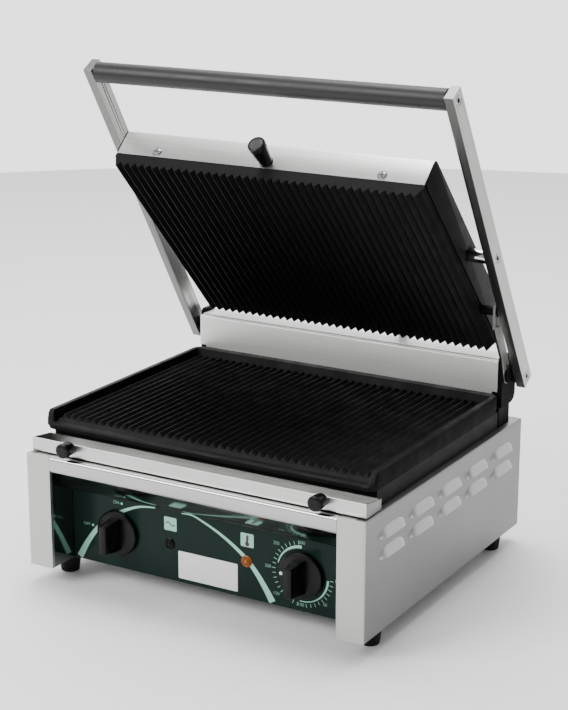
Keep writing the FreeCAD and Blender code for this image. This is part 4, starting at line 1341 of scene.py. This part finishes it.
        lathe(dot, [(0, 0.4), (1.3, 0.35), (1.9, 0), (1.9, -1.2), (0, -1.2)],
              facing(Axis.Y, (centre[0], back - self.size.disc, centre[1]), True), 24)
        finish_piece(dot, f"{node}_pointer", body, self.finishes.white)


class RibbedPlate:
    """Cast plate drawn as a height field over a grid, with ridges that run front to back."""

    def __init__(self, x_lines: Sequence[float], y_lines: Sequence[float],
                 height: Callable[[float, float], float], plan: Callable[[float, float], Point],
                 skirt: Sequence[tuple[float, float]]) -> None:
        """Keep the grid.

        Args:
            x_lines: Grid lines across the ridges.
            y_lines: Grid lines along the ridges.
            height: Face height at a point.
            plan: Moves a grid point in plan, for rounded corners.
            skirt: (inset, level) of each ring below the edge.
        """
        self.x_lines = x_lines
        self.y_lines = y_lines
        self.height = height
        self.plan = plan
        self.skirt = skirt

    def mesh(self) -> bmesh.types.BMesh:
        """Build the closed mesh in millimetres."""
        def corner(column: int, row: int) -> Sequence[float]:
            """Point of the ribbed face."""
            x, y = self.x_lines[column], self.y_lines[row]
            return (*self.plan(x, y), self.height(x, y))

        bm = grid_sheet(len(self.x_lines), len(self.y_lines), corner)
        middle = Vector((self.x_lines[0] + self.x_lines[-1],
                         self.y_lines[0] + self.y_lines[-1])) / 2
        span = Vector((self.x_lines[-1], self.y_lines[-1])) - middle
        last = 0.0
        for inset, level in self.skirt:
            rim = [edge for edge in bm.edges if edge.is_boundary]
            drawn = bmesh.ops.extrude_edge_only(bm, edges=rim)["geom"]
            for vert in (item for item in drawn if isinstance(item, bmesh.types.BMVert)):
                shrink = [(1 - inset / half) / (1 - last / half) for half in span]
                vert.co = (middle.x + (vert.co.x - middle.x) * shrink[0],
                           middle.y + (vert.co.y - middle.y) * shrink[1], level)
            last = inset
        close_holes(bm)
        return bm


def ridge_lines(count: int, pitch: float, shares: Sequence[float]) -> list[float]:
    """Grid lines across every ridge."""
    lines = set()
    for number in range(count):
        middle = (number - (count - 1) / 2) * pitch
        lines.update(round(middle + share * pitch, 4) for share in shares)
    return sorted(lines)


# A ridge's section by its share of half a pitch: flat crest, eased shoulder, straight flank.
CREST_FLAT, CREST_EDGE, CREST_FALL, CREST_FLANK, FLANK = 0.05, 0.12, 0.9, 1.04, 1.13


def slope_up(value: float, start: float, length: float) -> float:
    """Straight ramp from 0 at a start to 1 after a length."""
    return min(1.0, max(0.0, (value - start) / length))


def ridge_height(x: float, count: int, pitch: float, rise: float) -> float:
    """Height of the ridge profile at a place across the plate.

    Args:
        x: Place across.
        count: Number of ridges.
        pitch: Distance between ridges.
        rise: Height of a crest.

    Returns:
        Height above the grooves.
    """
    half = count * pitch / 2
    if abs(x) >= half:
        return 0.0
    share = abs(((x + half) / pitch) % 1.0 - 0.5) * 2
    slope = 1 - share
    crest = slope * CREST_FLANK
    if share < CREST_EDGE:
        crest = 1 - CREST_FALL * max(0.0, share - CREST_FLAT)
    return rise * min(slope * FLANK, crest)


RIDGE_SHARES = (-0.5, -0.46, -0.3, -0.1, -0.04, 0.04, 0.1, 0.3, 0.46)


@dataclass
class GrillSizes:
    """Sizes of the two cast plates."""

    pitch: float = 9.33
    ribs: int = 40
    head_ribs: int = 39
    rise: float = 4.8
    floor: float = 175.2
    half_width: float = 197.5
    rim: float = 7.0
    front: float = -160.0
    corner: float = 14.0
    front_corner: float = 8.0
    rear_ledge: float = 14.0
    ramp: float = 3.0
    lip_start: float = 148.0
    lip_drop: float = 2.4
    wall_end: float = -158.0
    wall_fade: float = 6.0
    ridge_span: tuple[float, float] = (-147.0, 123.0)
    ridge_ramp: float = 2.0
    roll: float = 1.6
    roll_front: float = -158.6


class LowerGrill(SubAssembly):
    """Lower cast plate, its skirt, heater and insulation."""

    def __init__(self, finishes: Finishes) -> None:
        """Keep the finishes and the sizes."""
        super().__init__(finishes)
        self.size = GrillSizes()
        high = box_mm("lower_plate")[1]
        self.rear = high.y
        self.top = high.z

    def height(self, x: float, y: float) -> float:
        """Height of the casting's upper face.

        Args:
            x: Place across.
            y: Place along.

        Returns:
            Height in the frame.
        """
        size = self.size
        reach = abs(x)
        inner = size.half_width - size.rim - 3
        side_rise = slope_up(reach, inner, size.ramp)
        rear_rise = slope_up(y, self.rear - size.rear_ledge, size.ramp)
        lip = slope_up(-y, size.lip_start, size.ramp)
        front_fade = slope_up(y, size.wall_end, size.wall_fade)
        rise = max(side_rise * front_fade, rear_rise)
        rolled = max(0.0, reach - (size.half_width - size.roll)) ** 2 * 0.8
        rolled += max(0.0, y - (self.rear - size.roll)) ** 2 * 0.8
        rolled += max(0.0, size.roll_front - y) ** 2 * 1.2
        near, far = size.ridge_span
        ends = slope_up(y, near, size.ridge_ramp) * slope_up(-y, -far, size.ridge_ramp)
        ridge = ridge_height(x, size.ribs, size.pitch, size.rise) * ends * (1 - rise)
        lowered = lip * size.lip_drop * (1 - rise)
        return size.floor + ridge + rise * (self.top - size.floor) - lowered - rolled

    def plan(self, x: float, y: float) -> Point:
        """Round the plate's corners in plan.

        Args:
            x: Place across on the square plate.
            y: Place along on the square plate.

        Returns:
            The place on the rounded plate.
        """
        size = self.size
        for sign in SIGNS:
            for edge, way in ((self.rear, -1), (size.front, 1)):
                radius = size.corner if way == -1 else size.front_corner
                centre = Vector((sign * (size.half_width - radius), edge + way * radius))
                offset = Vector((x, y)) - centre
                if offset.x * sign > 0 and offset.y * -way > 0:
                    reach = max(abs(offset.x), abs(offset.y))
                    if offset.length > 1e-6:
                        shrink = reach / offset.length
                        place = centre + offset * shrink
                        return (place.x, place.y)
        return (x, y)

    def build(self) -> None:
        """Make the casting and dress the parts under it."""
        size = self.size
        edges = (187.4, 189.0, 190.6, 193.5, 195.8, 196.8, 197.5)
        x_lines = sorted({*ridge_lines(size.ribs, size.pitch, RIDGE_SHARES), *edges,
                          *(-edge for edge in edges)})
        y_lines = [-160, -159.4, -158.4, -156, -153, -151, -149.4, -148, -147, -146, -145]
        y_lines += [-140 + step * 5 for step in range(52)]
        y_lines += [121, 122, 123, 125, 126.5, 128, 131, 135, 137.4, 138.4, 139]
        plate = RibbedPlate(x_lines, y_lines, self.height, self.plan,
                            [(0.3, 171.0), (1.6, 166.0), (7.0, 165.7)])
        finish_piece(plate.mesh(), "lower_casting", Body.BASE, self.finishes.cast,
                     ["lower_plate"], 50)
        dress_node("plate_skirt", self.finishes.skirt, 0.5)
        dress_node("lower_insulation", self.finishes.wool)
        dress_node("lower_heater", self.finishes.element)


@dataclass(frozen=True)
class SpringSizes:
    """Sizes of one torsion spring."""

    coils: int = 34
    sides: int = 14
    start: float = 61.2
    length: float = 107.6
    radius: float = 7.1
    wire: float = 0.85


class HingeUnit(SubAssembly):
    """Hinge box, cast brackets, springs and pins."""

    def build(self) -> None:
        """Make the hinge pieces."""
        low, high = box_mm("hinge_box")
        bm = bmesh.new()
        skin = 1.5
        mid = 187.2
        seam = low.y + 6.5
        step, lip = 0.9, 0.3
        front_top = high.z - step
        front = [(low.y, mid), (low.y, front_top), (seam + 3, front_top),
                 (seam + 3, front_top - skin), (low.y + skin, front_top - skin),
                 (low.y + skin, mid)]
        prism(bm, front, Axis.X, low.x, high.x, [0, 1.4, 0, 0, 0, 0])
        rear = [(seam, high.z - lip), (seam, high.z), (high.y, high.z), (high.y, mid),
                (high.y - skin, mid), (high.y - skin, high.z - skin), (seam + 3, high.z - skin),
                (seam + 3, high.z - lip)]
        prism(bm, rear, Axis.X, low.x, high.x, [0, 0, 2.2, 0, 0, 0, 0, 0])
        for near, far in ((low.y, low.y + skin), (high.y - skin, high.y)):
            prism(bm, rect_outline(near, low.z, far, mid), Axis.X, low.x + 8, high.x - 8)
        finish_piece(bm, "folded_hinge_box", Body.BASE, self.finishes.backsplash,
                     ["hinge_box"])
        for side in ("left", "right"):
            dress_node(f"{side}_hinge_bracket", self.finishes.bracket, 0.8)
        dress_node("stay_pivot", self.finishes.bracket, 0.4)
        self.springs()

    def springs(self) -> None:
        """Two torsion springs wound round the shaft."""
        bm = bmesh.new()
        size = SpringSizes()
        steps = size.coils * size.sides
        for sign in SIGNS:
            path = []
            for step in range(steps + 1):
                angle = 2 * math.pi * step / size.sides
                along = size.start + size.length * step / steps
                path.append(Vector((sign * along, HINGE.y + size.radius * math.cos(angle),
                                    HINGE.z + size.radius * math.sin(angle))))
            sweep(bm, path, lambda _: size.wire, 6)
        finish_piece(bm, "torsion_springs", Body.BASE, self.finishes.steel,
                     ["lid_springs"])


@dataclass
class ArmSizes:
    """Sizes of the lid frame's flat arms."""

    inner: float = 206.7
    outer: float = 217.0
    stations: tuple[float, ...] = (0.0, 175.0, 380.0)
    grip_radius: float = 11.0


class LidFrame(SubAssembly):
    """Flat arms, their screws, the handle and the cross bars."""

    def __init__(self, finishes: Finishes) -> None:
        """Keep the finishes and the sizes."""
        super().__init__(finishes)
        self.size = ArmSizes()

    def build(self) -> None:
        """Make every piece of the lid frame."""
        for side in ("left", "right"):
            dress_node(f"{side}_arm", self.finishes.arm, 0.5)
        self.screws()
        self.handle()
        dress_node("hinge_shaft", self.finishes.steel, 0.3)
        dress_node("handle_rod", self.finishes.steel, 0.3)
        dress_node("pivot_pins", self.finishes.chrome, 0.3)

    def screws(self) -> None:
        """Countersunk socket screws that sit a little below the arms' outer faces."""
        size = self.size
        for name, station in zip(("hinge_screws", "pivot_screws", "handle_screws"), size.stations):
            bm = bmesh.new()
            for sign in SIGNS:
                profile = [(0, -5.2), (2.5, -5.0), (2.6, -4.6), (2.6, -0.5), (3.0, -0.2),
                           (4.5, -0.2), (4.9, -0.7), (3.1, -4.0), (3.1, -16), (0, -16)]
                spot = (sign * size.outer, -station, 0)
                lathe(bm, profile, facing(Axis.X, spot, sign < 0), 36)
            finish_piece(bm, f"{name}_heads", Body.LID, self.finishes.steel, [name],
                         matrix=ARM_MATRIX)

    def handle(self) -> None:
        """Round bar with eased ends."""
        size = self.size
        radius, reach = size.grip_radius, size.inner
        profile = [(0, -reach), (radius - 0.8, -reach), (radius, -reach + 0.8),
                   (radius, -reach / 2), (radius, 0), (radius, reach / 2), (radius, reach - 0.8),
                   (radius - 0.8, reach), (0, reach)]
        bm = bmesh.new()
        lathe(bm, profile, facing(Axis.X, (0, -size.stations[2], 0)), 56)
        finish_piece(bm, "handle_bar", Body.LID, self.finishes.grip, ["handle_grip"],
                     matrix=ARM_MATRIX)


@dataclass
class HeadSizes:
    """Sizes of the tilting head, in its own frame with the pivot at the origin."""

    half_width: float = 185.0
    front: float = -139.6
    rear: float = 141.0
    top: float = 14.9
    cast_top: float = -16.8
    cast_side: float = -21.5
    cast_floor: float = -28.4
    cast_rear: float = 136.4
    cast_half: float = 184.0
    face_half: float = 179.0
    wall: float = 1.8
    knob_level: float = -8.8
    screw_reach: float = 134.5
    screw_level: float = -10.4


class Head(SubAssembly):
    """Upper casting, its cover, side walls, knob and screws."""

    def __init__(self, finishes: Finishes) -> None:
        """Keep the finishes and the sizes."""
        super().__init__(finishes)
        self.size = HeadSizes()
        self.grill = GrillSizes()

    def build(self) -> None:
        """Make every head piece."""
        self.casting()
        self.cover()
        self.walls()
        self.screws()
        self.knob()
        dress_node("upper_insulation", self.finishes.wool)
        dress_node("upper_heater", self.finishes.element)
        dress_node("stay_guide_pin", self.finishes.skirt, 0.3)

    def height(self, x: float, y: float) -> float:
        """Depth of the casting's ridged face below the pivot, as a positive number.

        Args:
            x: Place across.
            y: Place along in the head's frame.

        Returns:
            Depth below the pivot.
        """
        size, grill = self.size, self.grill
        slope = max(0.0, abs(x) - size.face_half) / (size.cast_half - size.face_half)
        ridge = ridge_height(x, grill.head_ribs, grill.pitch, grill.rise)
        eased = max(0.0, size.front + 0.8 - y, y - (size.cast_rear - 0.8))
        edge = slope * (size.cast_side - size.cast_floor)
        return -size.cast_floor + ridge * (1 - slope) - edge - eased * 0.8

    def casting(self) -> None:
        """Upper cast plate with ridges that run off both ends."""
        size, grill = self.size, self.grill
        ridges = ridge_lines(grill.head_ribs, grill.pitch, RIDGE_SHARES)
        x_lines = sorted({*ridges, -183.2, 183.2, -184.0, 184.0})
        y_lines = [size.front, size.front + 0.4, size.front + 0.9, size.front + 3]
        y_lines += [size.front + 8 + step * 6 for step in range(44)]
        y_lines += [size.cast_rear - 3, size.cast_rear - 0.9, size.cast_rear - 0.4, size.cast_rear]
        plate = RibbedPlate(x_lines, y_lines, self.height, lambda x, y: (x, y),
                            [(0.0, -size.cast_top + 3.4), (0.0, -size.cast_top + 0.05)])
        bm = plate.mesh()
        over = Matrix.Rotation(math.pi, 4, "Y")
        bmesh.ops.transform(bm, matrix=over, verts=bm.verts)
        finish_piece(bm, "upper_casting", Body.HEAD, self.finishes.cast,
                     ["upper_plate"], 50, HEAD_MATRIX)

    def cover(self) -> None:
        """Folded stainless cover."""
        size = self.size
        edge = size.half_width - size.wall - 0.1
        low = size.cast_top + 0.2
        skin = 1.5
        outline = [(size.front, low), (size.front, size.top), (size.rear, size.top),
                   (size.rear, low), (size.rear - skin, low), (size.rear - skin, size.top - skin),
                   (size.front + skin, size.top - skin), (size.front + skin, low)]
        bm = bmesh.new()
        prism(bm, outline, Axis.X, -edge, edge, [0, 2.5, 2.5, 0, 0, 1.0, 1.0, 0])
        finish_piece(bm, "folded_head_cover", Body.HEAD, self.finishes.cover,
                     ["head_cover"], matrix=HEAD_MATRIX)

    def walls(self) -> None:
        """Black side walls with the pivot bosses."""
        size = self.size
        for side, sign in (("left", -1), ("right", 1)):
            bm = bmesh.new()
            span = sorted((sign * (size.half_width - size.wall), sign * size.half_width))
            outline = rect_outline(size.front, size.cast_top, size.rear, size.top)
            prism(bm, outline, Axis.X, span[0], span[1], [5, 5, 3, 3], 0.4)
            profile = [(5.05, -12.9), (10, -12.9), (10, 0.9), (9.4, 1.5), (5.6, 1.5), (5.05, 0.9),
                       (5.05, -12.9)]
            spot = (sign * (size.half_width - 1.2), 0, 0)
            lathe(bm, profile, facing(Axis.X, spot, sign < 0), 36)
            finish_piece(bm, f"{side}_wall_and_boss", Body.HEAD, self.finishes.skirt,
                         [f"{side}_head_wall"], matrix=HEAD_MATRIX)

    def screws(self) -> None:
        """Two pan-head cross-recess screws in the cover's front."""
        size = self.size
        bm = bmesh.new()
        for sign in SIGNS:
            spot = (sign * size.screw_reach, size.front, size.screw_level)
            self.cross_head(bm, facing(Axis.Y, spot, True))
        finish_piece(bm, "cover_screw_heads", Body.HEAD, self.finishes.steel,
                     ["cover_screws"], matrix=HEAD_MATRIX)

    def cross_head(self, bm: bmesh.types.BMesh, matrix: Matrix) -> None:
        """Pan head with a cross recess and a thin washer.

        Args:
            bm: Mesh to add to.
            matrix: Place of the head's seat.
        """
        profile = [(0, 0.6), (0.9, 2.15), (2.5, 2.05), (3.6, 1.6), (4.3, 0.9), (4.4, 0.35),
                   (5.4, 0.35), (5.6, 0.0)]
        steps = 32
        head = turned(profile, steps)
        for vert in head.verts:
            radius = math.hypot(vert.co.x, vert.co.y)
            turn = round(math.atan2(vert.co.y, vert.co.x) / (2 * math.pi) * steps) % 8
            if 0.5 < radius < 3.0 and turn in (0, 1, 7):
                vert.co.z -= 1.5
        bmesh.ops.transform(head, matrix=matrix, verts=head.verts)
        join(bm, head)

    def knob(self) -> None:
        """Flared knob with a grey end disc inside a black ring."""
        size = self.size
        spot = (0, size.front, size.knob_level)
        bm = bmesh.new()
        profile = [(0, 28.6), (7.9, 28.6), (8.1, 29.6), (8.6, 30), (9.2, 29.7), (9.5, 28.9),
                   (9.45, 26.6), (9.1, 26.2), (9.1, 25.7), (9.35, 25.3), (8.9, 20), (8.0, 12),
                   (7.4, 6), (7.1, 1.0), (7.6, 0.5), (7.6, 0), (0, 0)]
        lathe(bm, profile, facing(Axis.Y, spot, True), 56)
        finish_piece(bm, "flared_lid_knob", Body.HEAD, self.finishes.knob,
                     ["lid_knob"], matrix=HEAD_MATRIX)
        cap = bmesh.new()
        profile = [(0, 30.6), (5.2, 30.5), (7.0, 30.2), (7.6, 29.5), (7.6, 28.7), (0, 28.7)]
        lathe(cap, profile, facing(Axis.Y, spot, True), 56)
        finish_piece(cap, "lid_knob_end_disc", Body.HEAD, self.finishes.grey_cap,
                     ["lid_knob_cap"], matrix=HEAD_MATRIX)


class Stay(SubAssembly):
    """Slotted link beside the head."""

    def build(self) -> None:
        """Dress the link."""
        dress_node("stay", self.finishes.stay, 0.4)


class DripTray(SubAssembly):
    """Sliding trough and its knobs."""

    def build(self) -> None:
        """Make the trough and its knobs."""
        low, high = box_mm("drip_tray")
        skin = 1.2
        rear_top = high.z - 4
        bm = bmesh.new()
        outline = [(low.y, low.z), (high.y, low.z), (high.y, rear_top), (high.y - skin, rear_top),
                   (high.y - skin, low.z + skin), (low.y + skin, low.z + skin),
                   (low.y + skin, high.z), (low.y, high.z)]
        prism(bm, outline, Axis.X, low.x + 0.1, high.x - 0.1, [1.8, 1.8, 0, 0, 0.7, 0.7, 0.5, 0.5])
        finish_piece(bm, "folded_trough", Body.TRAY, self.finishes.tray,
                     ["drip_tray"])
        # The end caps take the darker casing colour: painted shade on the tray's ends.
        ends = bmesh.new()
        outline = [(low.y + 0.2, low.z), (high.y - 0.2, low.z), (high.y - 0.2, rear_top),
                   (low.y + 0.2, high.z)]
        for near, far in ((low.x, low.x + skin), (high.x - skin, high.x)):
            prism(ends, outline, Axis.X, near, far, [0.8, 0.8, 0.8, 0.8], 0.2)
        finish_piece(ends, "trough_end_caps_painted_shade", Body.TRAY, self.finishes.casing)
        knobs = bmesh.new()
        low, high = box_mm("tray_knobs")
        reach = high.x - 8
        level = (low.z + high.z) / 2
        profile = [(0, 14.6), (3.5, 15), (6.6, 14.9), (7.7, 14.2), (8.0, 13.0), (7.9, 9.0),
                   (7.4, 4.5), (7.2, 0.8), (6.8, 0), (0, 0)]
        for sign in SIGNS:
            lathe(knobs, profile, facing(Axis.Y, (sign * reach, high.y, level), True), 40)
        finish_piece(knobs, "turned_tray_knobs", Body.TRAY, self.finishes.knob,
                     ["tray_knobs"])


class Conduit(SubAssembly):
    """Flexible metal conduit in two lengths, and its gland nuts."""

    PITCH = 1.0
    WAVE = 4.0
    RADIUS = 6.0
    EXIT = 64.4
    FOOT = 181.0
    MOUTH = 23.9
    BEND = 28.0
    ROUNDING = 24.0
    STRAIGHT, SWAY, MEET, PAST = 34, 78, 98, 118

    def route(self) -> tuple[list[Vector], list[Vector]]:
        """Centre lines of the lower and the upper length, in millimetres."""
        low, _ = box_mm("conduit_lower")
        across = low.x + self.RADIUS
        start = Vector((across, self.FOOT, low.z))
        back = Vector((0, math.cos(HEAD_TILT), -math.sin(HEAD_TILT)))
        lift = Vector((0, math.sin(HEAD_TILT), math.cos(HEAD_TILT)))
        pivot = Vector((across, PIVOT.y, PIVOT.z))
        mouth = pivot + back * self.EXIT + lift * self.MOUTH
        heading = math.atan2(lift.z, lift.y)
        swing = (heading + math.pi / 2) / 3
        run = 2 * self.BEND * math.tan(swing / 2)
        arch = [mouth, mouth + lift * run * 0.8]
        for step in (1, 2):
            aim = heading - swing * step
            arch.append(arch[-1] + Vector((0, run * math.cos(aim), run * math.sin(aim))))
        rear = arch[-1].y
        meet = Vector((across, rear - 1, start.z + self.MEET))
        lower = [start, start + Vector((0, 0, self.STRAIGHT)),
                 Vector((across, rear - 2.2, start.z + self.SWAY)), meet]
        upper = [meet, Vector((across, rear + 0.2, start.z + self.PAST)), *arch[::-1]]
        return lower, upper

    def build(self) -> None:
        """Make both lengths and the nuts."""
        lower, upper = self.route()
        for name, corners, bodies in (("conduit_lower", lower, (Body.BASE, Body.LID)),
                                      ("conduit_upper", upper, (Body.LID, Body.HEAD))):
            path = fillet(corners, self.ROUNDING, self.PITCH)
            bm = bmesh.new()
            sweep(bm, path, self.wavy, 24)
            piece = finish_piece(bm, f"{name}_corrugated", bodies[0], self.finishes.conduit,
                                 [name], 60)
            piece.parent = None
            del piece["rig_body"]
            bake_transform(piece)
        self.nut("base_conduit_gland", Body.BASE, Matrix.Translation((lower[0].x, self.FOOT, ROOF)))
        self.nut("head_conduit_gland", Body.HEAD,
                 HEAD_MATRIX @ Matrix.Translation((lower[0].x, self.EXIT, 14.9)))

    def wavy(self, place: int) -> float:
        """Radius of the corrugated sleeve at a point of its path."""
        return self.RADIUS - 0.45 + 0.4 * math.cos(place * self.PITCH / self.WAVE * 2 * math.pi)

    def nut(self, node: str, body: Body, matrix: Matrix) -> None:
        """Hexagonal gland nut with a flange.

        Args:
            node: CAD node that it replaces.
            body: Body that it rides on.
            matrix: Place of its seat.
        """
        bm = bmesh.new()
        corners = [(8.5 * math.cos(math.pi * step / 3), 8.5 * math.sin(math.pi * step / 3))
                   for step in range(6)]
        prism(bm, corners, Axis.Z, 0.8, 7.4, [0.6] * 6, 0.5)
        lathe(bm, [(0, 0), (8.4, 0), (8.6, 0.3), (8.6, 0.8), (8.2, 1.1), (0, 1.1)],
              Matrix.Identity(4), 40)
        lathe(bm, [(0, 7), (7.2, 7), (7.2, 8.4), (6.8, 9), (0, 9)], Matrix.Identity(4), 40)
        finish_piece(bm, f"{node}_nut", body, self.finishes.steel, [node],
                     matrix=matrix)


@dataclass
class Studio:
    """Pale floor, soft lights and the camera."""

    azimuth_deg: float = 30.357
    elevation_deg: float = 16.035
    roll_deg: float = 0.076
    distance_mm: float = 1930.1
    target_mm: tuple[float, float, float] = (3.66, 0.0, 236.65)
    lens_mm: float = 91.21
    backdrop_way: tuple[float, float, float] = (-0.5, 0.86, 0.1)
    fill: float = 0.5
    backdrop: float = 2.4
    key_power: float = 95.0
    top_power: float = 85.0

    def build(self) -> None:
        """Set the studio up."""
        self.floor()
        self.world()
        self.lights()
        self.camera()

    def floor(self) -> None:
        """Round pale floor whose rim is eased down at the edge."""
        bm = bmesh.new()
        profile = [(0, 0), (1600, 0), (2400, 0), (2500, -2), (2500, -20), (0, -20)]
        lathe(bm, profile[::-1], Matrix.Identity(4), 96)
        bmesh.ops.scale(bm, vec=(MM, MM, MM), verts=bm.verts)
        mesh = bpy.data.meshes.new("studio_floor")
        bm.to_mesh(mesh)
        bm.free()
        mesh.materials.append(Moulded("pale_studio_floor", "#EDEDED", "#F4F4F4", 0.6, 8.0,
                                      0.02).build())
        floor = bpy.data.objects.new("studio_floor", mesh)
        bpy.context.scene.collection.objects.link(floor)

    def world(self) -> None:
        """Surroundings that are bright behind the grill and dimmer on its right."""
        world = bpy.data.worlds.new("studio")
        world.use_nodes = True
        tree = world.node_tree
        background = tree.nodes["Background"]
        way = add_node(tree, "ShaderNodeTexCoord").outputs["Generated"]
        glow = add_node(tree, "ShaderNodeVectorMath",
                        {"operation": "DOT_PRODUCT", 1: self.backdrop_way},
                        {0: way}).outputs["Value"]
        tree.links.new(spread(tree, glow, self.fill, self.backdrop, 0.1, 0.9),
                       background.inputs["Strength"])
        background.inputs["Color"].default_value = linear("#FFFFFF")
        bpy.context.scene.world = world

    def lights(self) -> None:
        """Large soft key from the front left and a wide light above."""
        self.area("key_light", (-1.5, -2.3, 1.9), 1.6, self.key_power)
        self.area("top_light", (-0.2, 0.5, 2.6), 1.6, self.top_power)

    def area(self, name: str, spot: Sequence[float], width: float, power: float) -> None:
        """One square area light aimed at the grill.

        Args:
            name: Light name.
            spot: Place in metres.
            width: Side in metres.
            power: Power in watts.
        """
        data = bpy.data.lights.new(name, "AREA")
        data.size = width
        data.energy = power
        lamp = bpy.data.objects.new(name, data)
        lamp.location = spot
        aim = Vector((0, 0, 0.2)) - Vector(spot)
        lamp.rotation_mode = "QUATERNION"
        lamp.rotation_quaternion = aim.to_track_quat("-Z", "Y")
        bpy.context.scene.collection.objects.link(lamp)

    def camera(self) -> None:
        """Camera of the main picture."""
        turn, rise = math.radians(self.azimuth_deg), math.radians(self.elevation_deg)
        back = Vector((math.sin(turn) * math.cos(rise), -math.cos(turn) * math.cos(rise),
                       math.sin(rise)))
        data = bpy.data.cameras.new("camera")
        data.lens = self.lens_mm
        data.sensor_width = 36.0
        camera = bpy.data.objects.new("camera", data)
        camera.location = (Vector(self.target_mm) + back * self.distance_mm) * MM
        camera.rotation_mode = "QUATERNION"
        roll = Matrix.Rotation(math.radians(self.roll_deg), 4, "Z").to_quaternion()
        camera.rotation_quaternion = (-back).to_track_quat("-Z", "Y") @ roll
        bpy.context.scene.collection.objects.link(camera)
        bpy.context.scene.camera = camera


def main() -> None:
    """Build the grill and the studio."""
    logging.basicConfig(level=logging.INFO, format="%(name)s: %(message)s")
    finishes = Finishes()
    for kind in (Casing, ControlPanel, LowerGrill, HingeUnit, LidFrame, Head, Stay, DripTray,
                 Conduit):
        LOG.info("building %s", kind.__name__)
        kind(finishes).build()
    Studio().build()


if __name__ == "__main__":
    main()
